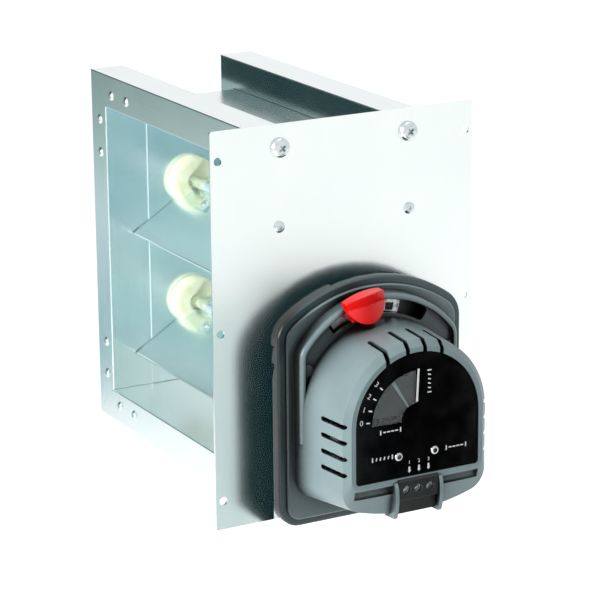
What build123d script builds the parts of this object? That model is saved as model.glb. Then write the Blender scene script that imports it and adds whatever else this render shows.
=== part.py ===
"""Motorised volume control damper for a rectangular duct, slip-in pattern.

Two parallel blades turn in an aluminium frame that slips into the duct through its side wall.  The frame
hangs from a flat mounting plate, and a gear motor actuator on the plate drives both blades by one link plate.

Frame of reference, in millimetres: the origin is the centre of the mounting plate's back face, the face
that lies against the duct.  +X runs along the airflow, +Y into the duct and +Z up.
"""

from math import cos, radians, sin
import os

from build123d import *

# ---------------------------------------------------------------- driving dimensions
PLATE_W = 190.5
PLATE_H = 260.0
PLATE_T = 1.5
PLATE_EDGE_HOLE_X = 90.0
PLATE_EDGE_HOLE_Z = 111.0
PLATE_EDGE_HOLE_D = 5.5

FRAME_X = 127.0
FRAME_Y = 242.5
FRAME_Z = 251.0
SHEET = 1.5
EAR_H = 22.9
EAR_W = 25.4
SEAT_DEPTH = 0.3
SEAT_FIT = 0.4
MITRE_BULGE = 1.6
MITRE_GAP = 0.14

PITCH = 88.0
LEAN = 32.5
CHORD = 112.0
BLADE_T = 1.5
HEM_W = 7.0
ROD_D = 8.0
HUB_D = 35.0
HUB_T = 9.0
HUB_WEB = 2.6
STRIP_T = 1.0
STRIP_W = 65.0
END_GAP = 0.5
RUNNING = 0.06

ACT_X = 16.0
ACT_Z = -56.0
CRANK_R = 14.0
CRANK_PHASE = 132.0
CRANK_ARM_T = 3.0
CRANK_Y = {"lower": (11.2, 19.4), "upper": (11.2, 19.4), "output": (7.6, 18.2)}
CRANK_BOSS_D = 15.0
CRANK_PIN_D = 4.0
LINK_Y = (4.2, 6.7)
LINK_W = 9.0
SHAFT_D = 8.0

BASE_HALF_W = 68.0
BASE_TOP_Z = 24.0
BASE_BOTTOM_Z = -136.2
BASE_ARCH_R = 102.0
BASE_SHOULDER_R = 20.0
BASE_CORNER_R = 15.0
BASE_T = 5.0
BASE_FLOOR = 2.2
BASE_RIM_W = 5.0
WALL = 2.4

BODY_HALF_W = 58.6
LIP_R = 71.0
LIP_D = 18.0
LIP_W = 3.4
LIP_ROUND = 2.6
SHOULDER_D = 14.5
FRONT_D = 60.0
NOSE_D = 64.0
# Half width, height of the crown over the actuator's axis, lowest z, sag of the bottom and corner radius of the
# drum's outline at its back, at its front and round the front panel.
DRUM_BACK = (BODY_HALF_W, 56.0, -123.0, 10.0, 16.0)
DRUM_FRONT = (52.6, 52.6, -117.5, 10.0, 15.0)
DRUM_NOSE = (48.4, 48.4, -95.5, 0.8, 6.0)
FASCIA_R = 45.0
FASCIA_BOTTOM_Z = -92.0
FASCIA_T = 0.8
FASCIA_D = 62.8
WINDOW_R = (11.5, 33.0)

AXLE_D = 4.0
GEAR_MODULE = 0.8
OUTPUT_TEETH = 60
WHEEL_TEETH = 40
SMALL_TEETH = 12
WHEEL_ANGLE = -50.0
MOTOR_ANGLE = 195.0

LEVER_REST = -12.0
LEVER_SLOT_R = (57.5, 67.0)
LEVER_SLOT_HALF = 34.0

# ---------------------------------------------------------------- places worked out from them
WEB_Z = FRAME_Z / 2 - EAR_H
NEAR_WEB_Y = EAR_H
FAR_WEB_Y = FRAME_Y - EAR_H
CHANNEL_X = FRAME_X / 2 - EAR_W
BLADE_Y = (NEAR_WEB_Y + STRIP_T + END_GAP, FAR_WEB_Y - STRIP_T - END_GAP)
BLADE_Z = {"lower": -PITCH / 2, "upper": PITCH / 2}
BLADE_DROP = ROD_D / 2 + BLADE_T / 2
BUSH_BARREL_D = 11.0
BUSH_FLANGE_D = 16.0
BUSH_FLANGE_T = 1.6
ROD_END_Y = FAR_WEB_Y + SHEET + BUSH_FLANGE_T + 4.0

KEY_LEG = 64.0
KEY_T = 3.0
KEY_IN = (3.2, 19.6)
KEY_RIVET_STEPS = (33.0, 56.5)
FLANGE_LINE = 13.4
RIVET_SHANK_D = 3.2
PLATE_SCREW_PLACES = [(x, 115.0) for x in (-46.5, 46.5)]
PLATE_RIVET_PLACES = [(x, 64.3) for x in (-47.5, 47.5)]
FLUSH_RIVET_PLACES = [(x, z) for x in (-47.5, 47.5) for z in (-115.0, -64.3)]
PLATE_RIVET_SHANK_D = 4.0
FLUSH_HEAD_D = 6.6
FLUSH_HEAD_H = 1.0
NUT_BARREL_D = 7.0
SCREW_D = 5.0
BASE_SCREW_PLACES = [(x, z) for x in (ACT_X - 20, ACT_X + 17) for z in (-20.0, -113.0)]
BASE_SCREW_D = 4.0
COVER_SCREW_PLACES = [(ACT_X + s * 52.8, z) for s in (-1, 1) for z in (-104.0, -28.0)]
COVER_SCREW_D = 3.0
POST_PLACES = [(-17.0, -60.0), (52.0, -54.0), (-10.0, -102.0), (46.0, -103.0)]
POST_D = 8.0
POST_SCREW_D = 2.5
PILLAR_PLACES = [(-20.0, -74.0), (-20.0, -91.0), (52.0, -72.0), (50.0, -90.0)]

WHEEL_GAP = GEAR_MODULE * (OUTPUT_TEETH + SMALL_TEETH) / 2
WHEEL_AT = (ACT_X + WHEEL_GAP * cos(radians(WHEEL_ANGLE)), ACT_Z + WHEEL_GAP * sin(radians(WHEEL_ANGLE)))
MOTOR_GAP = GEAR_MODULE * (WHEEL_TEETH + SMALL_TEETH) / 2
MOTOR_AT = (
    WHEEL_AT[0] + MOTOR_GAP * cos(radians(MOTOR_ANGLE)),
    WHEEL_AT[1] + MOTOR_GAP * sin(radians(MOTOR_ANGLE)),
)

# Depths in front of the mounting plate's front face, from the base to the pointer.
LEVER_D = (8.3, 9.8)
OUTPUT_GEAR_D = (11.8, 17.6)
WHEEL_D = (18.4, 22.2)
GEAR_PLATE_D = (23.4, 25.4)
MOTOR_D = (25.4, 47.0)
BOARD_D = (50.0, 51.6)
SHAFT_SHOULDER_D = 58.0
POINTER_D = (60.8, 61.8)
SPIGOT_D = 5.0
MOTOR_SHAFT_D = 3.0
TERMINAL_FACE_D = 65.4
TERMINAL_HEAD_D = 62.8
LIGHT_TIP_D = 63.6

os.makedirs("parts", exist_ok=True)


def save(builder, label):
    """Labels a finished piece and writes it to its own STEP file."""
    builder.part.label = label
    export_step(builder.part, f"parts/{label}.step")


def front(depth):
    """The plane at a depth in front of the mounting plate's front face: local x is +X and local y is +Z."""
    return Plane.XZ.offset(PLATE_T + depth)


def at_y(y):
    """The plane square to Y at y, facing the viewer (-Y): local x is +X and local y is +Z."""
    return Plane.XZ.offset(-y)


def polar(radius, angle, centre=(ACT_X, ACT_Z)):
    """A point at a radius and an angle (degrees, from +X towards +Z) about a centre in the XZ plane."""
    return (centre[0] + radius * cos(radians(angle)), centre[1] + radius * sin(radians(angle)))


def round_bar(y_from, y_to, diameter, centre, mode=Mode.ADD):
    """A round bar along Y, for use inside a part."""
    with BuildSketch(at_y(y_from)) as end:
        with Locations(centre):
            Circle(diameter / 2)
    extrude(end.sketch, amount=-(y_to - y_from), mode=mode)


# ---------------------------------------------------------------- frame
def corner_point(near, top, along_y, along_z):
    """A point of the side view, given by its distances in from an outer corner of the frame."""
    y = along_y if near else FRAME_Y - along_y
    z = FRAME_Z / 2 - along_z
    return (y, z if top else -z)


CORNERS = [(near, top) for near in (True, False) for top in (True, False)]
FLANGE_RIVETS = [
    corner_point(near, top, a, b)
    for near, top in CORNERS
    for step in KEY_RIVET_STEPS
    for a, b in ((step, FLANGE_LINE), (FLANGE_LINE, step))
]


def flange_holes(depth):
    """Cuts the corner rivets' holes into both side faces, to a depth."""
    for side in (-1, 1):
        with BuildSketch(Plane.YZ.offset(side * FRAME_X / 2)) as holes:
            with Locations(*FLANGE_RIVETS):
                Circle(RIVET_SHANK_D / 2 + 0.05)
        extrude(holes.sketch, amount=-side * depth, mode=Mode.SUBTRACT)


def ear_profile(inner, outward, ear_h=EAR_H):
    """Section of a frame length: a flat web with a hollow box ear along each edge.

    inner is the web's inner face and outward is +1 or -1, the way that the ears stand from it.
    """
    half = FRAME_X / 2
    steps = [
        (-half, 0),
        (half, 0),
        (half, ear_h),
        (CHANNEL_X, ear_h),
        (CHANNEL_X, SHEET),
        (-CHANNEL_X, SHEET),
        (-CHANNEL_X, ear_h),
        (-half, ear_h),
    ]
    with BuildSketch() as section:
        with BuildLine():
            Polyline(*[(x, inner + outward * h) for x, h in steps], close=True)
        make_face()
        fillet(section.vertices(), 0.8)
        with Locations(*[(s * (half - EAR_W / 2), inner + outward * ear_h / 2) for s in (-1, 1)]):
            Rectangle(EAR_W - 2 * SHEET, ear_h - 2 * SHEET, mode=Mode.SUBTRACT)
    return section.sketch


def keep_between_mitres(sign_y, sign_z, shift):
    """Keeps a frame length's own side of its two mitres, each a shallow arc drawn past the sheet's faces.

    A mitre runs from an outer corner of the side view to the inner corner.  sign_y and sign_z choose the
    two corners, and shift moves the cuts in along Z.
    """
    reach = 6.0
    past = MITRE_BULGE * ((1 + 2 * reach / EAR_H) ** 2 - 1) / 2**0.5
    bulge = MITRE_BULGE / 2**0.5
    with BuildSketch(Plane.YZ.offset(-FRAME_X / 2 - 5)) as side_view:
        with BuildLine():
            arcs = []
            for end_y, end_z in ((sign_y[0], sign_z[0]), (sign_y[1], sign_z[1])):
                out_y = FRAME_Y if end_y > 0 else 0.0
                out_z = end_z * (FRAME_Z / 2 - shift)
                outer = (out_y + end_y * (reach - past), out_z + end_z * (reach + past))
                inner = (out_y - end_y * (EAR_H + reach + past), out_z - end_z * (EAR_H + reach - past))
                middle = (out_y - end_y * (EAR_H / 2 - bulge), out_z - end_z * (EAR_H / 2 + bulge))
                arcs.append((outer, middle, inner))
            (a, m, b), (c, n, d) = arcs
            ThreePointArc(a, m, b)
            Line(b, d)
            ThreePointArc(d, n, c)
            Line(c, a)
        make_face()
    extrude(side_view.sketch, amount=FRAME_X + 10, mode=Mode.INTERSECT)


def level_length(sign):
    """The top (sign +1) or bottom (sign -1) length of the frame."""
    inner = sign * WEB_Z
    with BuildPart() as length:
        with BuildSketch(Plane.XZ):
            add(ear_profile(inner, sign))
        extrude(amount=-FRAME_Y)
        keep_between_mitres((-1, 1), (sign, sign), 0)
        flange_holes(SHEET + 0.4)
    return length


def upright_length(near):
    """The near or far upright of the frame, with the blade shafts' bush holes in its web.

    The near one's ears reach into the seat in the back of the mounting plate.
    """
    face = NEAR_WEB_Y if near else FAR_WEB_Y
    outward = -1 if near else 1
    with BuildPart() as length:
        with BuildSketch(Plane.XY.offset(-FRAME_Z / 2)):
            add(ear_profile(face, outward, EAR_H + SEAT_DEPTH if near else EAR_H))
        extrude(amount=FRAME_Z)
        keep_between_mitres((outward, outward), (1, -1), MITRE_GAP)
        for z in BLADE_Z.values():
            round_bar(face - 2 * SHEET, face + 2 * SHEET, BUSH_BARREL_D + 0.1, (0, z), Mode.SUBTRACT)
        flange_holes(SHEET + 0.4)
        if near:
            for place in PLATE_SCREW_PLACES:
                round_bar(-1, SHEET + 0.5, NUT_BARREL_D + 0.1, place, Mode.SUBTRACT)
            for place in PLATE_RIVET_PLACES + FLUSH_RIVET_PLACES:
                round_bar(-1, SHEET + 0.5, PLATE_RIVET_SHANK_D + 0.1, place, Mode.SUBTRACT)
    return length


save(level_length(1), "frame_top")
save(level_length(-1), "frame_bottom")
save(upright_length(near=False), "frame_far_side")
save(upright_length(near=True), "frame_near_side")

# Corner keys: flat L plates inside the ears, riveted through the side flanges.
with BuildPart() as corner_keys:
    low, high = KEY_IN
    steps = [(low, low), (KEY_LEG, low), (KEY_LEG, high), (high, high), (high, KEY_LEG), (low, KEY_LEG)]
    for side in (-1, 1):
        for near, top in CORNERS:
            with BuildSketch(Plane.YZ.offset(side * (FRAME_X / 2 - SHEET - 0.05))):
                with BuildLine():
                    Polyline(*[corner_point(near, top, a, b) for a, b in steps], close=True)
                make_face()
            extrude(amount=-side * KEY_T)
    flange_holes(SHEET + KEY_T + 1)
save(corner_keys, "corner_keys")


def blind_rivet(head_d, head_h, shank_d, grip):
    """A blind rivet standing on the XY plane: domed head above, shank below, mandrel hole on its axis."""
    with BuildPart() as rivet:
        with BuildSketch(Plane.XZ):
            with BuildLine():
                Polyline(
                    (0, head_h * 0.3),
                    (head_d * 0.14, head_h * 0.3),
                    (head_d * 0.16, head_h),
                    (head_d * 0.32, head_h * 0.92),
                    (head_d / 2, head_h * 0.3),
                    (head_d / 2, 0),
                    (shank_d / 2, 0),
                    (shank_d / 2, -grip),
                    (0, -grip),
                    close=True,
                )
            make_face()
        revolve(axis=Axis.Z)
    return rivet.part


flange_rivet = blind_rivet(6.6, 1.3, RIVET_SHANK_D, SHEET + KEY_T + 0.8)
flange_rivet_places = [
    Plane(origin=(side * FRAME_X / 2, y, z), z_dir=(side, 0, 0)).location
    for side in (-1, 1)
    for y, z in FLANGE_RIVETS
]
with BuildPart() as corner_rivets:
    with Locations(*flange_rivet_places):
        add(flange_rivet)
save(corner_rivets, "corner_rivets")


def facing_front(places, y):
    """Locations at (x, z) places on the plane at y, each with its local Z towards the viewer."""
    return [Plane(origin=(x, y, z), z_dir=(0, -1, 0)).location for x, z in places]


def facing_back(places, y):
    """Locations at (x, z) places on the plane at y, each with its local Z into the duct."""
    return [Plane(origin=(x, y, z), z_dir=(0, 1, 0)).location for x, z in places]


# ---------------------------------------------------------------- mounting plate
with BuildPart() as mounting_plate:
    with BuildSketch(at_y(0)) as outline:
        Rectangle(PLATE_W, PLATE_H)
        fillet(outline.vertices(), 1.2)
        with GridLocations(2 * PLATE_EDGE_HOLE_X, PLATE_EDGE_HOLE_Z, 2, 3):
            Circle(PLATE_EDGE_HOLE_D / 2, mode=Mode.SUBTRACT)
        with Locations(*PLATE_SCREW_PLACES):
            Circle(SCREW_D / 2 + 0.25, mode=Mode.SUBTRACT)
        with Locations(*PLATE_RIVET_PLACES):
            Circle(PLATE_RIVET_SHANK_D / 2 + 0.05, mode=Mode.SUBTRACT)
        with Locations(*BASE_SCREW_PLACES):
            Circle(BASE_SCREW_D / 2 + 0.2, mode=Mode.SUBTRACT)
        with Locations(*FLUSH_RIVET_PLACES):
            Circle(PLATE_RIVET_SHANK_D / 2 + 0.05, mode=Mode.SUBTRACT)
        with Locations((ACT_X, ACT_Z)):
            Circle(6.6, mode=Mode.SUBTRACT)
    extrude(amount=PLATE_T)
    with BuildSketch(front(0)):
        with Locations(*FLUSH_RIVET_PLACES):
            Circle(FLUSH_HEAD_D / 2 + 0.05)
    extrude(amount=-FLUSH_HEAD_H, taper=45, mode=Mode.SUBTRACT)
    # A shallow seat in the back takes the frame, so that it stands square, and leaves a flat rim for the duct.
    with BuildSketch(at_y(0)):
        Rectangle(FRAME_X + 2 * SEAT_FIT, FRAME_Z + 2 * SEAT_FIT)
    extrude(amount=SEAT_DEPTH, mode=Mode.SUBTRACT)
save(mounting_plate, "mounting_plate")


CROSS_TURN = 38.0


def pan_screw(head_d, head_h, shank_d, length, cross):
    """A pan head screw standing on the XY plane, shank down, with a cross recess in its head."""
    with BuildPart() as screw:
        with BuildSketch(Plane.XZ):
            with BuildLine():
                crown, rim = (head_d * 0.2, head_h), (head_d / 2, head_h * 0.2)
                Line((0, head_h), crown)
                ThreePointArc(crown, (head_d * 0.41, head_h * 0.78), rim)
                Polyline(
                    rim,
                    (head_d / 2, 0),
                    (shank_d / 2, 0),
                    (shank_d / 2, -length + 0.6),
                    (shank_d / 2 - 0.6, -length),
                    (0, -length),
                    (0, head_h),
                )
            make_face()
        revolve(axis=Axis.Z)
        with BuildSketch(Plane.XY.offset(head_h)):
            Rectangle(cross, cross * 0.22, rotation=CROSS_TURN)
            Rectangle(cross * 0.22, cross, rotation=CROSS_TURN)
        extrude(amount=-head_h * 0.7, mode=Mode.SUBTRACT)
    return screw.part


plate_screw = pan_screw(13.0, 4.0, SCREW_D, 15.0, 7.0)
with BuildPart() as plate_screws:
    with Locations(*facing_front(PLATE_SCREW_PLACES, -PLATE_T)):
        add(plate_screw)
save(plate_screws, "plate_screws")

with BuildPart() as plate_rivets:
    with Locations(*facing_front(PLATE_RIVET_PLACES, -PLATE_T)):
        add(blind_rivet(7.8, 1.6, PLATE_RIVET_SHANK_D, PLATE_T + SHEET + 2.5))
save(plate_rivets, "plate_rivets")

# Countersunk rivets under the actuator, flush with the plate's face.
with BuildPart() as flush_rivets:
    with BuildSketch(front(0)):
        with Locations(*FLUSH_RIVET_PLACES):
            Circle(FLUSH_HEAD_D / 2)
    extrude(amount=-FLUSH_HEAD_H, taper=45)
    for place in FLUSH_RIVET_PLACES:
        round_bar(-PLATE_T + FLUSH_HEAD_H, SHEET + 2.5, PLATE_RIVET_SHANK_D, place)
save(flush_rivets, "flush_rivets")

# Rivet nuts: set into the near ears, flush with the flange, bulged behind the sheet.
with BuildPart() as rivet_nut:
    with BuildSketch(Plane.XZ):
        with BuildLine():
            Polyline(
                (SCREW_D / 2 + 0.05, 0),
                (NUT_BARREL_D / 2, 0),
                (NUT_BARREL_D / 2, -SHEET - 0.05),
                (NUT_BARREL_D / 2 + 1.4, -SHEET - 0.7),
                (NUT_BARREL_D / 2 + 1.4, -SHEET - 1.6),
                (NUT_BARREL_D / 2, -SHEET - 2.6),
                (NUT_BARREL_D / 2, -12.0),
                (SCREW_D / 2 + 0.05, -12.0),
                close=True,
            )
        make_face()
    revolve(axis=Axis.Z)
with BuildPart() as rivet_nuts:
    with Locations(*facing_front(PLATE_SCREW_PLACES, -SEAT_DEPTH)):
        add(rivet_nut.part)
save(rivet_nuts, "rivet_nuts")

# ---------------------------------------------------------------- jamb strips and shaft bushes
with BuildPart() as jamb_strips:
    for strip_y in (NEAR_WEB_Y, FAR_WEB_Y - STRIP_T):
        with BuildSketch(at_y(strip_y)):
            Rectangle(STRIP_W, 2 * WEB_Z - 1.0)
            with Locations(*[(0, z) for z in BLADE_Z.values()]):
                Circle(BUSH_BARREL_D / 2 + 0.05, mode=Mode.SUBTRACT)
        extrude(amount=-STRIP_T)
save(jamb_strips, "jamb_strips")


# Flanged bushes of both blade shafts, each flange on its web's outer face.
with BuildPart() as shaft_bushes:
    for inner_y, outward in ((NEAR_WEB_Y + STRIP_T, -1), (FAR_WEB_Y - STRIP_T, 1)):
        barrel = SHEET + STRIP_T
        ends = (inner_y, inner_y + outward * barrel, inner_y + outward * (barrel + BUSH_FLANGE_T))
        for z in BLADE_Z.values():
            round_bar(min(ends[:2]), max(ends[:2]), BUSH_BARREL_D, (0, z))
            round_bar(min(ends[1:]), max(ends[1:]), BUSH_FLANGE_D, (0, z))
            round_bar(min(ends) - 1, max(ends) + 1, ROD_D + 2 * RUNNING, (0, z), Mode.SUBTRACT)
save(shaft_bushes, "shaft_bushes")


# ---------------------------------------------------------------- blades
def chord_plane(y, centre_z):
    """The plane square to a blade's shaft at y: local x runs up the resting blade's chord, towards +X."""
    return Plane(
        origin=(0, y, centre_z),
        x_dir=(cos(radians(LEAN)), 0, sin(radians(LEAN))),
        z_dir=(0, -1, 0),
    )


HUB_Y = (BLADE_Y[0] - 0.2, BLADE_Y[1] + 0.2 - HUB_T)


def blade_sheet(centre_z):
    """A blade: a flat sheet under its rod, both long edges hemmed back, with a notch for each hub's web."""
    length = BLADE_Y[1] - BLADE_Y[0]
    low = -BLADE_DROP - BLADE_T / 2
    with BuildPart() as blade:
        with BuildSketch(chord_plane(BLADE_Y[0], centre_z)) as section:
            with Locations((0, -BLADE_DROP)):
                Rectangle(CHORD, BLADE_T)
            with Locations(*[(s * (CHORD - HEM_W) / 2, low - BLADE_T / 2) for s in (-1, 1)]):
                Rectangle(HEM_W, BLADE_T)
            fillet(section.vertices().group_by(Axis.X)[0] + section.vertices().group_by(Axis.X)[-1], 0.7)
        extrude(amount=-length)
        for y in (BLADE_Y[0], BLADE_Y[1] - HUB_WEB):
            with BuildSketch(chord_plane(y, centre_z)):
                Rectangle(HUB_D + 0.6, 4 * BLADE_DROP)
            extrude(amount=-HUB_WEB, mode=Mode.SUBTRACT)
    return blade


def blade_hubs(centre_z):
    """A blade's two nylon hubs: rounded rim, a slot for the blade's end and a stepped pocket for the rod."""
    with BuildPart() as hubs:
        for near in (True, False):
            wall_y = HUB_Y[0] if near else HUB_Y[1] + HUB_T
            inward = 1 if near else -1
            face_y = wall_y + inward * HUB_T
            with BuildSketch(chord_plane(wall_y, centre_z)):
                Circle(HUB_D / 2)
            extrude(amount=-inward * HUB_T)
            fillet(hubs.edges().filter_by_position(Axis.Y, face_y - 0.01, face_y + 0.01), 4.6)
            with BuildSketch(chord_plane(face_y, centre_z)):
                with Locations((0, -BLADE_DROP)):
                    Rectangle(HUB_D + 2, BLADE_T + 0.1)
            extrude(amount=inward * (HUB_T - HUB_WEB), mode=Mode.SUBTRACT)
            with BuildSketch(chord_plane(face_y, centre_z)):
                Circle(ROD_D / 2 + 2.6)
                with BuildLine():
                    edge = HUB_D / 2 + 1
                    Polyline((0, 6.4), (edge, 10.5), (edge, -BLADE_DROP), (0, -BLADE_DROP), close=True)
                make_face()
            extrude(amount=inward * 3.0, mode=Mode.SUBTRACT)
            with BuildSketch(chord_plane(wall_y, centre_z)):
                Circle(ROD_D / 2)
            extrude(amount=-inward * HUB_T, mode=Mode.SUBTRACT)
    return hubs


def blade_rod(centre_z):
    """The round rod that carries a blade, from its crank to the far bush, grooved for the far clip."""
    with BuildPart() as rod:
        round_bar(CRANK_Y["lower"][0], ROD_END_Y, ROD_D, (0, centre_z))
        chamfer(rod.edges().group_by(Axis.Y)[-1], 0.8)
        round_bar(ROD_END_Y - 3.0, ROD_END_Y - 2.0, ROD_D + 1, (0, centre_z), Mode.SUBTRACT)
        round_bar(ROD_END_Y - 3.0, ROD_END_Y - 2.0, ROD_D - 1.6, (0, centre_z))
    return rod


def rod_clip(centre_z):
    """The retaining clip in the groove at a rod's far end."""
    with BuildPart() as clip:
        with BuildSketch(at_y(ROD_END_Y - 2.95)):
            with Locations((0, centre_z)):
                Circle(7.0)
                Circle(ROD_D / 2 - 0.8, mode=Mode.SUBTRACT)
            with Locations((0, centre_z - 5)):
                Rectangle(ROD_D - 1.6, 10, mode=Mode.SUBTRACT)
        extrude(amount=-0.9)
    return clip


SADDLE_YS = (62.0, 121.3, 180.0)
STRAP_T = 1.2


def rod_saddles(centre_z):
    """Three strap saddles that clamp a rod down on its blade, each with two rivets through the sheet."""
    outer = ROD_D / 2 + STRAP_T
    with BuildPart() as saddles:
        for y in SADDLE_YS:
            with BuildSketch(chord_plane(y - 7, centre_z)):
                Circle(outer)
                with Locations((0, -ROD_D / 2 + STRAP_T / 2)):
                    Rectangle(34, STRAP_T)
                Circle(ROD_D / 2, mode=Mode.SUBTRACT)
                with Locations((0, -ROD_D / 2 - 2.0)):
                    Rectangle(36, 4.0, mode=Mode.SUBTRACT)
                with Locations((0, -3.0)):
                    Rectangle(0.87 * ROD_D, 4.0, mode=Mode.SUBTRACT)
            extrude(amount=-14)
    return saddles


def saddle_rivets(centre_z):
    """The rivets of one blade's saddles, heads on the strap."""
    sheet_top = -ROD_D / 2 + STRAP_T
    with BuildPart() as rivets:
        for y in SADDLE_YS:
            for s in (-1, 1):
                plane = chord_plane(y, centre_z)
                centre = plane.from_local_coords((s * 11.5, sheet_top, 0))
                up = plane.from_local_coords((0, 1, 0)) - plane.origin
                with BuildSketch(Plane(origin=centre, z_dir=up)):
                    Circle(2.9)
                extrude(amount=1.0, taper=25)
    return rivets


for name, z in BLADE_Z.items():
    save(blade_sheet(z), f"blade_{name}")
    save(blade_rod(z), f"blade_rod_{name}")
    save(blade_hubs(z), f"blade_hubs_{name}")
    save(rod_clip(z), f"rod_clip_{name}")
    save(rod_saddles(z), f"rod_saddles_{name}")
    save(saddle_rivets(z), f"saddle_rivets_{name}")


# ---------------------------------------------------------------- cranks and link plate
PIVOTS = {"lower": (0, BLADE_Z["lower"]), "upper": (0, BLADE_Z["upper"]), "output": (ACT_X, ACT_Z)}
PINS = {name: polar(CRANK_R, CRANK_PHASE, centre) for name, centre in PIVOTS.items()}


def crank(name):
    """A crank: a teardrop arm on a round boss, bored for its shaft and its pin, with a set screw hole."""
    centre, pin = PIVOTS[name], PINS[name]
    face, end = CRANK_Y[name]
    with BuildPart() as arm:
        with BuildSketch(at_y(face)):
            with BuildSketch(at_y(face)):
                with Locations(centre):
                    Circle(CRANK_BOSS_D / 2)
                with Locations(pin):
                    Circle(4.4)
            make_hull()
        extrude(amount=-CRANK_ARM_T)
        round_bar(face + CRANK_ARM_T, end, CRANK_BOSS_D, centre)
        round_bar(face, end, ROD_D, centre, Mode.SUBTRACT)
        round_bar(face, face + CRANK_ARM_T, CRANK_PIN_D, pin, Mode.SUBTRACT)
        with BuildSketch(set_screw_plane(name)):
            Circle(1.9)
        extrude(amount=6, mode=Mode.SUBTRACT)
    return arm


def set_screw_plane(name):
    """The plane at a shaft's surface that its crank's set screw presses on, facing away from the pin."""
    away = CRANK_PHASE + 180
    x, z = polar(ROD_D / 2, away, PIVOTS[name])
    face, end = CRANK_Y[name]
    y = (face + CRANK_ARM_T + end) / 2
    return Plane(origin=(x, y, z), z_dir=(cos(radians(away)), 0, sin(radians(away))))


def crank_pin(name):
    """A crank pin, riveted in its arm: a spacer shoulder and a collar keep the link plate in line."""
    pin = PINS[name]
    face = CRANK_Y[name][0]
    with BuildPart() as stud:
        round_bar(LINK_Y[0] - 1.2, face + CRANK_ARM_T, CRANK_PIN_D, pin)
        round_bar(LINK_Y[0] - 1.2, LINK_Y[0] - 0.3, 7.4, pin)
        round_bar(LINK_Y[1] + 0.3, face, 6.0, pin)
    return stud


def set_screw(name):
    """The crank's set screw, flush in its boss, with a hexagon socket."""
    reach = (CRANK_BOSS_D - ROD_D) / 2 - 0.3
    with BuildPart() as screw:
        with BuildSketch(set_screw_plane(name)):
            Circle(1.85)
        extrude(amount=reach)
        with BuildSketch(set_screw_plane(name).offset(reach)):
            RegularPolygon(1.15, 6)
        extrude(amount=-1.8, mode=Mode.SUBTRACT)
    return screw


for name in PIVOTS:
    save(crank(name), f"crank_{name}")
    save(crank_pin(name), f"crank_pin_{name}")
    save(set_screw(name), f"set_screw_{name}")

with BuildPart() as link_plate:
    for first, second in (("lower", "upper"), ("lower", "output")):
        with BuildSketch(at_y(LINK_Y[0])):
            with BuildSketch(at_y(LINK_Y[0])) as ends:
                with Locations(PINS[first], PINS[second]):
                    Circle(LINK_W / 2)
            make_hull()
        extrude(amount=-(LINK_Y[1] - LINK_Y[0]))
    for pin in PINS.values():
        round_bar(LINK_Y[0], LINK_Y[1], CRANK_PIN_D + 2 * RUNNING, pin, Mode.SUBTRACT)
save(link_plate, "link_plate")

# ---------------------------------------------------------------- actuator base
def base_outline(inset):
    """Outline of the actuator's base, moved in by inset: straight sides under a wide arch."""
    half = BASE_HALF_W - inset
    radius = BASE_ARCH_R - inset
    arch_z = BASE_TOP_Z - BASE_ARCH_R
    shoulder_z = arch_z + (radius**2 - half**2) ** 0.5
    bottom = BASE_BOTTOM_Z + inset
    left, right = ACT_X - half, ACT_X + half
    with BuildSketch() as outline:
        with BuildLine():
            Polyline((left, shoulder_z), (left, bottom), (right, bottom), (right, shoulder_z))
            ThreePointArc((right, shoulder_z), (ACT_X, arch_z + radius), (left, shoulder_z))
        make_face()
        corners = outline.vertices().group_by(Axis.Y)
        fillet(corners[0], BASE_CORNER_R - inset)
        fillet(outline.vertices().sort_by(Axis.Y)[-2:], BASE_SHOULDER_R - inset)
    return outline.sketch


with BuildPart() as actuator_base:
    with BuildSketch(front(0)):
        add(base_outline(0))
    extrude(amount=BASE_T)
    fillet(actuator_base.edges().group_by(Axis.Y)[0], 1.4)
    with BuildSketch(front(BASE_FLOOR)):
        add(base_outline(BASE_RIM_W + 0.3))
    extrude(amount=BASE_T, mode=Mode.SUBTRACT)
    with BuildSketch(front(BASE_FLOOR)):
        with Locations((ACT_X, ACT_Z)):
            Circle(6.6)
        with Locations(*BASE_SCREW_PLACES):
            Circle(4.6)
        with Locations(WHEEL_AT):
            Circle(5.0)
    extrude(amount=5.4)
    with BuildSketch(front(BASE_FLOOR)):
        with Locations(*POST_PLACES):
            Circle(POST_D / 2)
    extrude(amount=GEAR_PLATE_D[0] - BASE_FLOOR)
    # The shaft's bearing tube reaches back through the mounting plate.
    round_bar(-PLATE_T, 3.4, 13.0, (ACT_X, ACT_Z))
    round_bar(-PLATE_T - 8.0, 4.0, SHAFT_D + 2 * RUNNING, (ACT_X, ACT_Z), Mode.SUBTRACT)
    for place in BASE_SCREW_PLACES:
        round_bar(-PLATE_T - 7.0, 0, BASE_SCREW_D + 0.1, place, Mode.SUBTRACT)
    for place in COVER_SCREW_PLACES:
        round_bar(-PLATE_T - BASE_FLOOR, -PLATE_T, COVER_SCREW_D + 0.4, place, Mode.SUBTRACT)
        round_bar(-PLATE_T - 1.5, -PLATE_T, 6.4, place, Mode.SUBTRACT)
    for place in POST_PLACES:
        round_bar(-PLATE_T - GEAR_PLATE_D[0], -PLATE_T - 13.0, POST_SCREW_D + 0.1, place, Mode.SUBTRACT)
    round_bar(-PLATE_T - GEAR_PLATE_D[0], -PLATE_T - 1.0, AXLE_D, WHEEL_AT, Mode.SUBTRACT)
save(actuator_base, "actuator_base")

base_screw = pan_screw(8.0, 2.6, BASE_SCREW_D, PLATE_T + 6.4, 3.0)
with BuildPart() as base_screws:
    with Locations(*facing_back(BASE_SCREW_PLACES, -SEAT_DEPTH)):
        add(base_screw)
save(base_screws, "base_screws")


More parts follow.
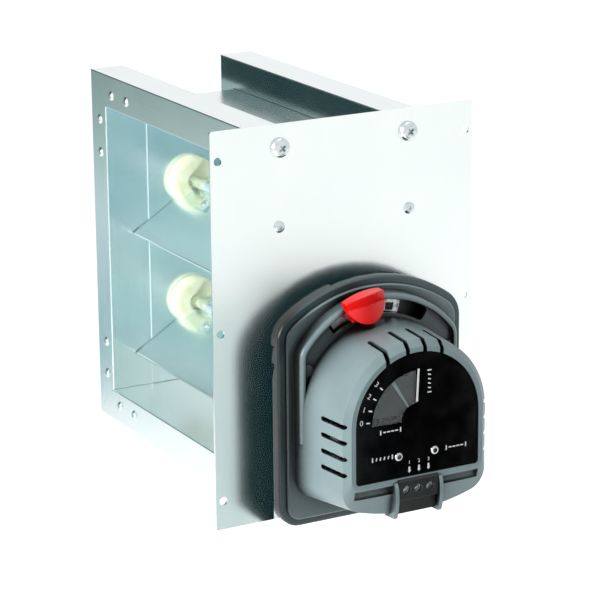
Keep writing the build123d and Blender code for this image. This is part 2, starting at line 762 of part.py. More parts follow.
# ---------------------------------------------------------------- actuator cover
def drum_outline(section, inset=0.0):
    """Outline of the drum, moved in by inset: half round on top, straight sides, softly bowed bottom."""
    half_w, crown, lowest, sag, corner = section
    left, right = ACT_X - half_w + inset, ACT_X + half_w - inset
    top_z = ACT_Z + crown - inset
    bottom_z = lowest + inset
    side_z = bottom_z + sag
    spring_z = ACT_Z + crown - half_w
    with BuildSketch() as outline:
        with BuildLine():
            Line((left, spring_z), (left, side_z))
            ThreePointArc((left, side_z), (ACT_X, bottom_z), (right, side_z))
            Line((right, side_z), (right, spring_z))
            ThreePointArc((right, spring_z), (ACT_X, top_z), (left, spring_z))
        make_face()
        fillet(outline.vertices().group_by(Axis.Y)[0], corner - inset)
    return outline.sketch


def tier_outline(inset):
    """Outline of the tier behind the drum: the same sides, under an arch as wide as the lever's sweep."""
    half = BODY_HALF_W - inset
    radius = LIP_R - inset
    spring_z = ACT_Z + (radius**2 - half**2) ** 0.5
    left, right = ACT_X - half, ACT_X + half
    with BuildSketch() as outline:
        with BuildLine():
            Polyline((left, spring_z), (left, ACT_Z - 20), (right, ACT_Z - 20), (right, spring_z))
            ThreePointArc((right, spring_z), (ACT_X, ACT_Z + radius), (left, spring_z))
        make_face()
        fillet(outline.vertices().group_by(Axis.Y)[-1], 14 - inset)
    return outline.sketch


def annular_sector(r_in, r_out, start, span):
    """A ring sector about the actuator's axis, from the start angle over span degrees."""
    a, m, b = start, start + span / 2, start + span
    with BuildSketch() as sector:
        with BuildLine():
            ThreePointArc(polar(r_out, a), polar(r_out, m), polar(r_out, b))
            Line(polar(r_out, b), polar(r_in, b))
            ThreePointArc(polar(r_in, b), polar(r_in, m), polar(r_in, a))
            Line(polar(r_in, a), polar(r_out, a))
        make_face()
    return sector.sketch


def fascia_outline(inset):
    """Outline of the front label panel: half round on top and level below."""
    radius = FASCIA_R - inset
    bottom = FASCIA_BOTTOM_Z + inset
    left, right = ACT_X - radius, ACT_X + radius
    with BuildSketch() as outline:
        with BuildLine():
            Polyline((left, ACT_Z), (left, bottom), (right, bottom), (right, ACT_Z))
            ThreePointArc((right, ACT_Z), (ACT_X, ACT_Z + radius), (left, ACT_Z))
        make_face()
        fillet(outline.vertices().group_by(Axis.Y)[0], 2.5)
    return outline.sketch


TERMINAL_W = 29.0
LIGHT_PLACES = [(ACT_X - 13.3, -78.5), (ACT_X + 13.3, -78.5)]
LIGHT_D = 6.0
SIDE_SLOT_ZS = (-52.8, -63.4, -74.1, -84.8)
SIDE_SLOT_H = 3.0
TOP_SLOT_XS = (-6.0, 8.5, 21.0, 33.5)
TOP_SLOT_D = (40.0, 66.0)
COVE_R = 3.0
COVE_AT = (62.9, -99.4)
COVE_HALF_W = 45.5

with BuildPart() as actuator_cover:
    # Skirt, lying on the base's rim.
    with BuildSketch(front(BASE_T)):
        add(base_outline(BASE_RIM_W))
    extrude(amount=WALL)
    chamfer(actuator_cover.edges().group_by(Axis.Y)[0], 0.9)
    # Tier with its lip, and the crescent pocket behind the drum.
    with BuildSketch(front(BASE_T)):
        add(tier_outline(0))
    extrude(amount=LIP_D - BASE_T)
    lip_edges = actuator_cover.edges().group_by(Axis.Y)[0].filter_by_position(Axis.Z, ACT_Z - 18, ACT_Z + LIP_R)
    fillet(lip_edges, LIP_ROUND)
    with BuildSketch(front(SHOULDER_D)):
        add(tier_outline(LIP_W))
    extrude(amount=LIP_D, mode=Mode.SUBTRACT)
    # Drum, drawn in towards the front, and its facetted nose.
    with BuildSketch(front(BASE_T)):
        add(drum_outline(DRUM_BACK))
    with BuildSketch(front(FRONT_D)):
        add(drum_outline(DRUM_FRONT))
    loft()
    with BuildSketch(front(FRONT_D)):
        add(drum_outline(DRUM_FRONT))
    with BuildSketch(front(NOSE_D)):
        add(drum_outline(DRUM_NOSE))
    loft()
    # Hollow inside.
    with BuildSketch(front(BASE_T)):
        add(drum_outline(DRUM_BACK, WALL))
    with BuildSketch(front(FRONT_D - WALL)):
        add(drum_outline(DRUM_FRONT, WALL))
    loft(mode=Mode.SUBTRACT)
    with BuildSketch(front(FRONT_D - WALL)):
        add(drum_outline(DRUM_NOSE, 1.0))
    extrude(amount=WALL - 0.6, mode=Mode.SUBTRACT)
    with BuildSketch(front(BASE_T)):
        add(tier_outline(WALL + 1.0))
    extrude(amount=SHOULDER_D - BASE_T - WALL, mode=Mode.SUBTRACT)
    # Seat for the front panel, with the window and the two signal lights cut through.
    with BuildSketch(front(FASCIA_D - FASCIA_T)):
        add(fascia_outline(-0.25))
    extrude(amount=NOSE_D, mode=Mode.SUBTRACT)
    with BuildSketch(front(POINTER_D[0] - 0.4)):
        add(annular_sector(3.0, WINDOW_R[1] + 0.8, 84, 102))
        with Locations((ACT_X, ACT_Z)):
            Circle(6.4)
    extrude(amount=8, mode=Mode.SUBTRACT)
    with BuildSketch(front(FRONT_D - WALL - 1)):
        with Locations(*LIGHT_PLACES):
            Circle(LIGHT_D / 2 + 0.2)
        with Locations((ACT_X, ACT_Z)):
            Circle(SPIGOT_D / 2 + 0.15)
    extrude(amount=8, mode=Mode.SUBTRACT)
    # Lever slot in the shoulder.
    with BuildSketch(front(SHOULDER_D - WALL - 1)) as slot:
        add(annular_sector(*LEVER_SLOT_R, 90 - LEVER_SLOT_HALF, 2 * LEVER_SLOT_HALF))
        fillet(slot.vertices(), 3.0)
    extrude(amount=WALL + 6, mode=Mode.SUBTRACT)
    # Cooling slots: four down each side and four over the top, all running out through the nose's facets.
    with BuildSketch(Plane.YZ.offset(ACT_X - 100)):
        with Locations(*[(-PLATE_T - 49.5, z) for z in SIDE_SLOT_ZS]):
            SlotOverall(25.0, SIDE_SLOT_H)
    extrude(amount=200, mode=Mode.SUBTRACT)
    with BuildSketch(Plane.XY.offset(ACT_Z + 30)):
        with Locations(*[(x, -PLATE_T - sum(TOP_SLOT_D) / 2) for x in TOP_SLOT_XS]):
            SlotOverall(TOP_SLOT_D[1] - TOP_SLOT_D[0], SIDE_SLOT_H, rotation=90)
    extrude(amount=60, mode=Mode.SUBTRACT)
    # Cove under the front panel's rim.
    with BuildSketch(Plane.YZ.offset(ACT_X - COVE_HALF_W)):
        with Locations((-PLATE_T - COVE_AT[0], COVE_AT[1])):
            Circle(COVE_R)
    extrude(amount=2 * COVE_HALF_W, mode=Mode.SUBTRACT)
    # Mouth for the terminal block, with a rib on each side of it.
    with BuildSketch(front(44.0)):
        with Locations((ACT_X, -110.0)):
            Rectangle(TERMINAL_W + 1.0, 33.2)
    extrude(amount=30, mode=Mode.SUBTRACT)
    for s in (-1, 1):
        with BuildSketch(Plane.YZ.offset(ACT_X + s * (TERMINAL_W / 2 + 1.9) - 1.3)):
            with BuildLine():
                Polyline((-61.5, -95.0), (-66.2, -95.0), (-67.4, -98.0))
                ThreePointArc((-67.4, -98.0), (-68.0, -108.0), (-65.4, -119.0))
                Polyline((-65.4, -119.0), (-54.0, -119.8), (-54.0, -114.5), (-61.5, -95.0))
            make_face()
        extrude(amount=2.6)
    # Bosses for the cover screws.
    for place in COVER_SCREW_PLACES:
        round_bar(-PLATE_T - 16.0, -PLATE_T - BASE_FLOOR - 0.05, 8.0, place)
        round_bar(-PLATE_T - 12.0, -PLATE_T, COVER_SCREW_D + 0.1, place, Mode.SUBTRACT)
save(actuator_cover, "actuator_cover")

with BuildPart() as cover_screws:
    cover_screw = pan_screw(6.0, 1.4, COVER_SCREW_D, 9.5, 3.4)
    with Locations(*facing_back(COVER_SCREW_PLACES, -PLATE_T - 1.5)):
        add(cover_screw)
save(cover_screws, "cover_screws")

# ---------------------------------------------------------------- front panel, window and pointer
with BuildPart() as front_panel:
    with BuildSketch(front(FASCIA_D - FASCIA_T)):
        add(fascia_outline(0))
        add(annular_sector(*WINDOW_R, 90.5, 89), mode=Mode.SUBTRACT)
        with Locations(*LIGHT_PLACES):
            Circle(LIGHT_D / 2 + 0.2, mode=Mode.SUBTRACT)
    extrude(amount=FASCIA_T)
save(front_panel, "front_panel")

with BuildPart() as window_lens:
    with BuildSketch(front(FASCIA_D - FASCIA_T)):
        add(annular_sector(*WINDOW_R, 90.5, 89))
    extrude(amount=FASCIA_T)
save(window_lens, "window_lens")

POINTER_REST = 90 + LEAN
with BuildPart() as position_pointer:
    with BuildSketch(front(POINTER_D[0])):
        add(annular_sector(4.0, WINDOW_R[1] - 1.0, POINTER_REST - 2.2, 4.4))
        with Locations((ACT_X, ACT_Z)):
            Circle(5.8)
            Circle(SPIGOT_D / 2, mode=Mode.SUBTRACT)
    extrude(amount=POINTER_D[1] - POINTER_D[0])
save(position_pointer, "position_pointer")

with BuildPart() as output_shaft:
    round_bar(-PLATE_T - SHAFT_SHOULDER_D, CRANK_Y["output"][1], SHAFT_D, (ACT_X, ACT_Z))
    round_bar(-PLATE_T - POINTER_D[1], -PLATE_T - SHAFT_SHOULDER_D, SPIGOT_D, (ACT_X, ACT_Z))
save(output_shaft, "output_shaft")


# ---------------------------------------------------------------- gear train
def gear_outline(teeth, centre, first_angle, bore):
    """A gear's face: straight-flanked teeth, one of them centred on the first angle."""
    pitch_r = GEAR_MODULE * teeth / 2
    tip, root = pitch_r + 0.8 * GEAR_MODULE, pitch_r - 1.15 * GEAR_MODULE
    step = 360 / teeth
    points = []
    for tooth in range(teeth):
        middle = first_angle + tooth * step
        points.append(polar(root, middle - 0.36 * step, centre))
        points.append(polar(tip, middle - 0.12 * step, centre))
        points.append(polar(tip, middle + 0.12 * step, centre))
        points.append(polar(root, middle + 0.36 * step, centre))
    with BuildSketch() as face:
        with BuildLine():
            Polyline(*points, close=True)
        make_face()
        with Locations(centre):
            Circle(bore / 2, mode=Mode.SUBTRACT)
    return face.sketch


# A gear's tooth points at its partner; the partner answers with a gap, half a tooth step away.
with BuildPart() as output_gear:
    with BuildSketch(front(OUTPUT_GEAR_D[0])):
        add(gear_outline(OUTPUT_TEETH, (ACT_X, ACT_Z), WHEEL_ANGLE, SHAFT_D))
    extrude(amount=OUTPUT_GEAR_D[1] - OUTPUT_GEAR_D[0])
    with BuildSketch(front(OUTPUT_GEAR_D[1])):
        for i in range(6):
            with Locations(polar(15.0, 60 * i + 15)):
                Circle(4.2)
    extrude(amount=-3.0, mode=Mode.SUBTRACT)
save(output_gear, "output_gear")

with BuildPart() as reduction_wheel:
    wheel_bore = AXLE_D + 2 * RUNNING
    with BuildSketch(front(OUTPUT_GEAR_D[0])):
        add(gear_outline(SMALL_TEETH, WHEEL_AT, WHEEL_ANGLE + 180 + 180 / SMALL_TEETH, wheel_bore))
    extrude(amount=WHEEL_D[0] - OUTPUT_GEAR_D[0])
    with BuildSketch(front(WHEEL_D[0])):
        add(gear_outline(WHEEL_TEETH, WHEEL_AT, MOTOR_ANGLE, wheel_bore))
    extrude(amount=WHEEL_D[1] - WHEEL_D[0])
save(reduction_wheel, "reduction_wheel")

with BuildPart() as motor_pinion:
    with BuildSketch(front(WHEEL_D[0])):
        add(gear_outline(SMALL_TEETH, MOTOR_AT, MOTOR_ANGLE + 180 + 180 / SMALL_TEETH, 2.0))
    extrude(amount=WHEEL_D[1] - WHEEL_D[0])
    round_bar(-PLATE_T - MOTOR_D[0] - 7.0, -PLATE_T - WHEEL_D[0] + 0.6, MOTOR_SHAFT_D, MOTOR_AT)
save(motor_pinion, "motor_pinion")

with BuildPart() as wheel_axle:
    round_bar(-PLATE_T - GEAR_PLATE_D[1], -PLATE_T - 1.0, AXLE_D, WHEEL_AT)
save(wheel_axle, "wheel_axle")

with BuildPart() as gear_plate:
    with BuildSketch(front(GEAR_PLATE_D[0])) as outline:
        with Locations((ACT_X, -77.0)):
            Rectangle(84.0, 64.0)
        fillet(outline.vertices(), 6.0)
        with Locations((ACT_X, ACT_Z)):
            Circle(SHAFT_D / 2 + RUNNING, mode=Mode.SUBTRACT)
        with Locations(WHEEL_AT):
            Circle(AXLE_D / 2, mode=Mode.SUBTRACT)
        with Locations(MOTOR_AT):
            Circle(5.0, mode=Mode.SUBTRACT)
        with Locations(*POST_PLACES):
            Circle(POST_SCREW_D / 2 + 0.1, mode=Mode.SUBTRACT)
    extrude(amount=GEAR_PLATE_D[1] - GEAR_PLATE_D[0])
    with BuildSketch(front(GEAR_PLATE_D[1])):
        with Locations(*PILLAR_PLACES):
            Circle(3.0)
    extrude(amount=BOARD_D[0] - GEAR_PLATE_D[1])
save(gear_plate, "gear_plate")

with BuildPart() as gear_plate_screws:
    post_screw = pan_screw(5.0, 2.0, POST_SCREW_D, 9.0, 2.8)
    with Locations(*facing_front(POST_PLACES, -PLATE_T - GEAR_PLATE_D[1])):
        add(post_screw)
save(gear_plate_screws, "gear_plate_screws")

with BuildPart() as drive_motor:
    with BuildSketch(front(MOTOR_D[0])):
        with Locations(MOTOR_AT):
            Circle(20.5)
    extrude(amount=MOTOR_D[1] - MOTOR_D[0])
    fillet(drive_motor.edges().group_by(Axis.Y)[0], 2.0)
    round_bar(-PLATE_T - MOTOR_D[1] - 1.6, -PLATE_T - MOTOR_D[1], 12.0, MOTOR_AT)
    round_bar(-PLATE_T - MOTOR_D[0], -PLATE_T - GEAR_PLATE_D[0] - 0.2, 9.8, MOTOR_AT)
    bore_y = (-PLATE_T - MOTOR_D[0] - 7.5, -PLATE_T - WHEEL_D[1])
    round_bar(*bore_y, MOTOR_SHAFT_D + 2 * RUNNING, MOTOR_AT, Mode.SUBTRACT)
save(drive_motor, "drive_motor")

# ---------------------------------------------------------------- release lever
LEVER_ANGLE = 90 - LEVER_REST
LEVER_SECTOR = (LEVER_ANGLE - 29, 48)
STEM_HALF = 8.5


def lever_plane(depth):
    """The plane at a depth whose origin is on the lever's axis and whose local y runs along the lever."""
    return Plane(
        origin=(ACT_X, -PLATE_T - depth, ACT_Z),
        x_dir=(sin(radians(LEVER_ANGLE)), 0, -cos(radians(LEVER_ANGLE))),
        z_dir=(0, -1, 0),
    )


with BuildPart() as release_lever:
    with BuildSketch(front(LEVER_D[0])):
        add(annular_sector(56.2, 65.6, *LEVER_SECTOR))
        add(annular_sector(58.5, 63.5, LEVER_SECTOR[0] + 4, 5.5), mode=Mode.SUBTRACT)
    with BuildSketch(lever_plane(LEVER_D[0])):
        with Locations((0, 33.0)):
            Rectangle(13.0, 50.0)
        Circle(12.0)
    extrude(amount=LEVER_D[1] - LEVER_D[0])
    with BuildSketch(lever_plane(LEVER_D[1])):
        Circle(7.5)
    extrude(amount=1.4)
    round_bar(-PLATE_T - 12.0, -PLATE_T - LEVER_D[0], SHAFT_D + 2 * RUNNING, (ACT_X, ACT_Z), Mode.SUBTRACT)
    with BuildSketch(front(LEVER_D[0])):
        with Locations(polar(16.5, LEVER_ANGLE)):
            Circle(1.2)
    extrude(amount=-3.0)
save(release_lever, "release_lever")

CAP_D = (18.6, 29.0)
CAP_R = (58.0, 76.5)
CAP_BARREL_R = 24.0
with BuildPart() as lever_cap:
    with BuildSketch(front(LEVER_D[1])) as stem:
        add(annular_sector(58.9, 65.4, LEVER_ANGLE - STEM_HALF, 2 * STEM_HALF))
        fillet(stem.vertices(), 1.2)
    extrude(amount=CAP_D[0] - LEVER_D[1])
    with BuildSketch(lever_plane(CAP_D[0])) as shield:
        with BuildLine():
            Line((-14.5, CAP_R[1] - 1.5), (-13.0, 68.0))
            ThreePointArc((-13.0, 68.0), (0, CAP_R[0]), (13.0, 68.0))
            Line((13.0, 68.0), (14.5, CAP_R[1] - 1.5))
            ThreePointArc((14.5, CAP_R[1] - 1.5), (0, CAP_R[1] + 0.6), (-14.5, CAP_R[1] - 1.5))
        make_face()
        fillet(shield.vertices().group_by(Axis.Y)[-1], 1.6)
    extrude(amount=CAP_D[1] - CAP_D[0])
    # The thumb face is a shallow barrel that runs along the lever.
    along = lever_plane(0)
    with BuildSketch(Plane(origin=(ACT_X, -PLATE_T, ACT_Z), x_dir=along.x_dir, z_dir=along.y_dir)):
        with Locations((0, CAP_BARREL_R - CAP_D[1])):
            Circle(CAP_BARREL_R)
    extrude(amount=90, mode=Mode.INTERSECT)
save(lever_cap, "lever_cap")

# Torsion spring round the base's boss.
SPRING_R = 8.1
SPRING_WIRE = 1.0
SPRING_PITCH = 1.4
SPRING_TURNS = 3
with BuildPart() as lever_spring:
    with BuildLine():
        start_y = -PLATE_T - 3.2
        coil_h = SPRING_PITCH * SPRING_TURNS
        Helix(SPRING_PITCH, coil_h, SPRING_R, center=(ACT_X, start_y, ACT_Z), direction=(0, -1, 0))
    with BuildSketch(Plane(origin=(ACT_X + SPRING_R, start_y, ACT_Z), z_dir=(0, 0, 1))):
        Circle(SPRING_WIRE / 2)
    sweep(is_frenet=True)
save(lever_spring, "lever_spring")

# ---------------------------------------------------------------- circuit board, lights and terminals
with BuildPart() as circuit_board:
    with BuildSketch(front(BOARD_D[0])):
        with Locations((ACT_X, -87.5)):
            Rectangle(86.0, 44.0)
        add(drum_outline(DRUM_FRONT, 5.6), mode=Mode.INTERSECT)
    extrude(amount=BOARD_D[1] - BOARD_D[0])
save(circuit_board, "circuit_board")

with BuildPart() as signal_lights:
    for place in LIGHT_PLACES:
        round_bar(-PLATE_T - LIGHT_TIP_D, -PLATE_T - BOARD_D[1], LIGHT_D, place)
    fillet(signal_lights.edges().group_by(Axis.Y)[0], 1.6)
save(signal_lights, "signal_lights")

BLOCK_Z = (-117.0, -93.6)
TERMINAL_Z = BLOCK_Z[1] - 7.4
TERMINAL_SEAT_D = 60.5
TERMINAL_XS = [ACT_X + step for step in (-8.6, 0, 8.6)]
with BuildPart() as terminal_block:
    with BuildSketch(Plane.YZ.offset(ACT_X - TERMINAL_W / 2)):
        with BuildLine():
            back, face = -PLATE_T - BOARD_D[1], -PLATE_T - TERMINAL_FACE_D
            Polyline(
                (back, BLOCK_Z[1]),
                (face + 1.2, BLOCK_Z[1]),
                (face, BLOCK_Z[1] - 1.2),
                (face, BLOCK_Z[1] - 13.5),
                (face + 3.4, BLOCK_Z[1] - 15.0),
                (face + 3.4, BLOCK_Z[0]),
                (back, BLOCK_Z[0]),
                close=True,
            )
        make_face()
    extrude(amount=TERMINAL_W)
    for x in TERMINAL_XS:
        round_bar(-PLATE_T - 66.0, -PLATE_T - TERMINAL_SEAT_D, 6.2, (x, TERMINAL_Z), Mode.SUBTRACT)
        with BuildSketch(Plane.XY.offset(BLOCK_Z[0])):
            with Locations((x, -PLATE_T - 57.5)):
                Rectangle(5.6, 5.0)
        extrude(amount=9.0, mode=Mode.SUBTRACT)
save(terminal_block, "terminal_block")

with BuildPart() as terminal_screws:
    for x in TERMINAL_XS:
        round_bar(-PLATE_T - TERMINAL_HEAD_D, -PLATE_T - TERMINAL_SEAT_D, 5.6, (x, TERMINAL_Z))
        with BuildSketch(front(TERMINAL_HEAD_D)):
            with Locations((x, TERMINAL_Z)):
                Rectangle(5.0, 0.9, rotation=20)
        extrude(amount=-0.9, mode=Mode.SUBTRACT)
save(terminal_screws, "terminal_screws")
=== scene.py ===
# %% [markdown]
# A motorised volume control damper, dressed for a studio picture.
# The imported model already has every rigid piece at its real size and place. This file gives each piece the
# finish that it has when it leaves the press brake, the mould or the lathe. Then it prints the dial, and
# lights the lot.

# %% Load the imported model
import math

import bpy
from mathutils import Matrix, Vector


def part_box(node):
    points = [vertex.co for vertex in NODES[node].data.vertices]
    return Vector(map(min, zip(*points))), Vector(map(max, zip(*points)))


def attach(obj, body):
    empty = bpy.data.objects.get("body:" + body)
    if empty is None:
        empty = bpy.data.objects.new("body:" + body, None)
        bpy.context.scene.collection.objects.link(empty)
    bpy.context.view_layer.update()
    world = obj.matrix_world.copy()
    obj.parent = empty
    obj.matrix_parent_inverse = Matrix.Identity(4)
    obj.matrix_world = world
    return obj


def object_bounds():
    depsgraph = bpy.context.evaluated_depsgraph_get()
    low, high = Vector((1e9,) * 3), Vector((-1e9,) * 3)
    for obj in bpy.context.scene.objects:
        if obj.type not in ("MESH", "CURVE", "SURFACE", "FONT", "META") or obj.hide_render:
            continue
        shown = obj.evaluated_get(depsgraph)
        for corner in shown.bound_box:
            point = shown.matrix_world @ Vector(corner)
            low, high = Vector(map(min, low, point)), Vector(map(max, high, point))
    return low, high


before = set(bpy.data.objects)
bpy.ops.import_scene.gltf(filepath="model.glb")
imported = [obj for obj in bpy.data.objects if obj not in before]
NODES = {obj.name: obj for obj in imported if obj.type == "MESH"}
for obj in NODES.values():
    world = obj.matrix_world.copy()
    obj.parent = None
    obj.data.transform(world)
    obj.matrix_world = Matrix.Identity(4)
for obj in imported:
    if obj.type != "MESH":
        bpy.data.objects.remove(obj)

CAD_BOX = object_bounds()
MM = 0.001
print("nodes", len(NODES), "box", [round(v, 4) for corner in CAD_BOX for v in corner])

# %% [markdown]
# Colours are written as sRGB hex, the way a colour card gives them, and one function turns them to the
# linear values that a renderer works in. One small helper adds a shader node, so that each material below
# reads as a short list of what is on the surface.

# %% Colour and node helpers
def linear(hex_colour):
    """sRGB hex, such as "#C9D2D3", to linear RGBA."""
    channels = [int(hex_colour[i:i + 2], 16) / 255 for i in (1, 3, 5)]
    return [c / 12.92 if c <= 0.04045 else ((c + 0.055) / 1.055) ** 2.4 for c in channels] + [1.0]


def add_node(owner, kind, inputs=None, stops=(), **settings):
    """Adds a node to a material or world.

    inputs maps a socket to a value, or to another node's output socket that feeds it.
    stops are a colour ramp's (position, hex) pairs.
    """
    node = owner.node_tree.nodes.new(kind)
    for name, value in settings.items():
        setattr(node, name, value)
    for socket, value in (inputs or {}).items():
        if isinstance(value, bpy.types.NodeSocket):
            owner.node_tree.links.new(value, node.inputs[socket])
        else:
            node.inputs[socket].default_value = value
    if stops:
        elements = node.color_ramp.elements
        while len(elements) < len(stops):
            elements.new(0.5)
        for element, (position, colour) in zip(elements, stops):
            element.position = position
            element.color = linear(colour)
    return node


def new_material(name):
    """A node material with nothing in it yet."""
    material = bpy.data.materials.new(name)
    material.use_nodes = True
    material.node_tree.nodes.clear()
    return material


def paint(material, *names):
    """Gives a material to CAD nodes, on every slot that they have."""
    for name in names:
        mesh = NODES[name].data
        mesh.materials.clear()
        mesh.materials.append(material)


# %% [markdown]
# Sheet aluminium leaves the mill with fine lines along the way it was rolled. They are a few tenths of a
# millimetre apart, which is too fine to show from here, so they are drawn about a millimetre apart. Noise
# that is stretched along the sheet gives the lines, and a slow cloudy noise gives the handling marks between
# them. The lines only change the colour by a few shades: what the eye reads as metal is the soft reflection,
# so the roughness carries the finish. A metal keeps the default IOR.

# %% Rolled aluminium
LINE_STRETCH = 60  # a line is this many times longer than it is wide
LINE_DEPTH = 0.01 * MM
CLOUD_SCALE = 18.0  # handling marks about 55 mm across


def rolled_aluminium(name, along, light, dark, roughness, line_mm=1.0):
    """Mill-finish aluminium whose lines run along axis 0, 1 or 2 of the part, line_mm millimetres apart."""
    material = new_material(name)
    across = 1.0 / (line_mm * MM)
    scale = [across, across, across]
    scale[along] = across / LINE_STRETCH
    coordinates = add_node(material, "ShaderNodeTexCoord").outputs["Object"]
    stretched = add_node(material, "ShaderNodeMapping", {"Vector": coordinates, "Scale": scale}).outputs[0]
    lines = add_node(material, "ShaderNodeTexNoise",
                     {"Vector": stretched, "Scale": 1.0, "Detail": 2.0, "Roughness": 0.5}).outputs["Fac"]
    clouds = add_node(material, "ShaderNodeTexNoise",
                      {"Vector": coordinates, "Scale": CLOUD_SCALE, "Detail": 2.0,
                       "Roughness": 0.5}).outputs["Fac"]
    both = add_node(material, "ShaderNodeMath", {0: lines, 1: clouds}, operation="ADD").outputs[0]
    half = add_node(material, "ShaderNodeMath", {0: both, 1: 0.5}, operation="MULTIPLY").outputs[0]
    colour = add_node(material, "ShaderNodeValToRGB", {"Fac": half},
                      stops=[(0.2, dark), (0.8, light)]).outputs["Color"]
    rough = add_node(material, "ShaderNodeMapRange",
                     {"Value": clouds, "From Min": 0.1, "From Max": 0.9,
                      "To Min": roughness - 0.03, "To Max": roughness + 0.04}).outputs[0]
    bump = add_node(material, "ShaderNodeBump", {"Height": lines, "Strength": 0.3, "Distance": LINE_DEPTH})
    metal = add_node(material, "ShaderNodeBsdfPrincipled",
                     {"Base Color": colour, "Metallic": 1.0, "Roughness": rough, "Normal": bump.outputs[0]})
    add_node(material, "ShaderNodeOutputMaterial", {"Surface": metal.outputs[0]})
    return material


frame_level = rolled_aluminium("mill aluminium, frame top and bottom", 1, "#F1F8F7", "#E3ECEC", 0.25)
frame_upright = rolled_aluminium("mill aluminium, frame uprights", 2, "#F0F9F9", "#DCEBED", 0.25)
plate_brushed = rolled_aluminium("brushed aluminium plate", 2, "#F6FBF9", "#EAF3F1", 0.19, line_mm=0.8)
blade_rolled = rolled_aluminium("rolled aluminium blade", 1, "#EDF9F9", "#DCEDED", 0.24)
paint(frame_level, "frame_top", "frame_bottom")
paint(frame_upright, "frame_far_side", "frame_near_side", "jamb_strips")
paint(plate_brushed, "mounting_plate")
paint(blade_rolled, "blade_lower", "blade_upper", "rod_saddles_lower", "rod_saddles_upper")
print("sheet metal painted")

# %% [markdown]
# Fasteners, cranks and the link are steel with bright zinc plating. Zinc has a faint blue cast that changes
# from grain to grain, so a small noise shifts the colour and the roughness a little. Turned and drawn parts
# have no plating, and the same recipe with a lighter colour and a lower roughness gives them.

# %% Zinc plated and bright metal
def plated_steel(name, light, dark, roughness, grain_mm):
    """Metal with a fine grain of grain_mm millimetres."""
    material = new_material(name)
    coordinates = add_node(material, "ShaderNodeTexCoord").outputs["Object"]
    grain = add_node(material, "ShaderNodeTexNoise",
                     {"Vector": coordinates, "Scale": 1 / (grain_mm * MM), "Detail": 2.0}).outputs["Fac"]
    colour = add_node(material, "ShaderNodeValToRGB", {"Fac": grain},
                      stops=[(0.3, dark), (0.7, light)]).outputs["Color"]
    rough = add_node(material, "ShaderNodeMapRange",
                     {"Value": grain, "From Min": 0.3, "From Max": 0.7,
                      "To Min": roughness - 0.06, "To Max": roughness + 0.08}).outputs[0]
    metal = add_node(material, "ShaderNodeBsdfPrincipled",
                     {"Base Color": colour, "Metallic": 1.0, "Roughness": rough})
    add_node(material, "ShaderNodeOutputMaterial", {"Surface": metal.outputs[0]})
    return material


zinc = plated_steel("zinc plated steel", "#DDE4E6", "#C6D0D3", 0.24, 2.5)
bright = plated_steel("bright turned steel", "#E8ECED", "#CDD4D6", 0.18, 4.0)
rivet_metal = plated_steel("aluminium blind rivet", "#DCE4E5", "#C2CCCE", 0.28, 2.0)
drawn = plated_steel("bright drawn aluminium rod", "#F6FAF9", "#E4EDEC", 0.28, 6.0)
spring = plated_steel("oiled spring steel", "#7A7F82", "#55595C", 0.35, 2.0)
brass = plated_steel("machined brass", "#D6B26A", "#B08D4A", 0.30, 3.0)
paint(zinc, "corner_keys", "plate_screws", "rivet_nuts", "base_screws", "cover_screws", "gear_plate",
      "gear_plate_screws", "crank_lower", "crank_upper", "crank_output", "link_plate", "drive_motor",
      "terminal_screws")
paint(rivet_metal, "corner_rivets", "plate_rivets", "flush_rivets", "saddle_rivets_lower",
      "saddle_rivets_upper")
paint(bright, "crank_pin_lower", "crank_pin_upper", "crank_pin_output", "output_shaft", "wheel_axle",
      "release_lever")
paint(drawn, "blade_rod_lower", "blade_rod_upper")
paint(spring, "rod_clip_lower", "rod_clip_upper", "set_screw_lower", "set_screw_upper", "set_screw_output",
      "lever_spring")
paint(brass, "output_gear", "motor_pinion")
print("fasteners and drive painted")

# %% [markdown]
# The hubs and bushes are natural nylon: milky, a little yellow-green, and light goes a few millimetres into
# it. Subsurface scattering gives that glow, and the surface itself is a soft satin.

# %% Natural nylon
MOTTLE_SCALE = 160.0  # mottles about 6 mm across
SATIN_SCALE = 1400.0  # satin dimples about 0.7 mm apart
SATIN_DEPTH = 0.05 * MM


def natural_nylon(name, light, dark, depth_mm):
    """Milky moulded plastic that light enters by depth_mm millimetres."""
    material = new_material(name)
    coordinates = add_node(material, "ShaderNodeTexCoord").outputs["Object"]
    mottle = add_node(material, "ShaderNodeTexNoise",
                      {"Vector": coordinates, "Scale": MOTTLE_SCALE, "Detail": 3.0}).outputs["Fac"]
    colour = add_node(material, "ShaderNodeValToRGB", {"Fac": mottle},
                      stops=[(0.3, dark), (0.7, light)]).outputs["Color"]
    fine = add_node(material, "ShaderNodeTexNoise",
                    {"Vector": coordinates, "Scale": SATIN_SCALE}).outputs["Fac"]
    bump = add_node(material, "ShaderNodeBump", {"Height": fine, "Strength": 0.2, "Distance": SATIN_DEPTH})
    plastic = add_node(material, "ShaderNodeBsdfPrincipled",
                       {"Base Color": colour, "Roughness": 0.42, "IOR": 1.53, "Subsurface Weight": 0.35,
                        "Subsurface Radius": (1.0, 1.0, 0.6), "Subsurface Scale": depth_mm * MM,
                        "Normal": bump.outputs[0]})
    add_node(material, "ShaderNodeOutputMaterial", {"Surface": plastic.outputs[0]})
    return material


nylon = natural_nylon("natural nylon", "#F5F8DE", "#E8EDC4", 2.0)
acetal = natural_nylon("white acetal", "#F4F4F0", "#E8E8E2", 1.0)
paint(nylon, "blade_hubs_lower", "blade_hubs_upper", "shaft_bushes")
paint(acetal, "reduction_wheel")
print("nylon and acetal painted")

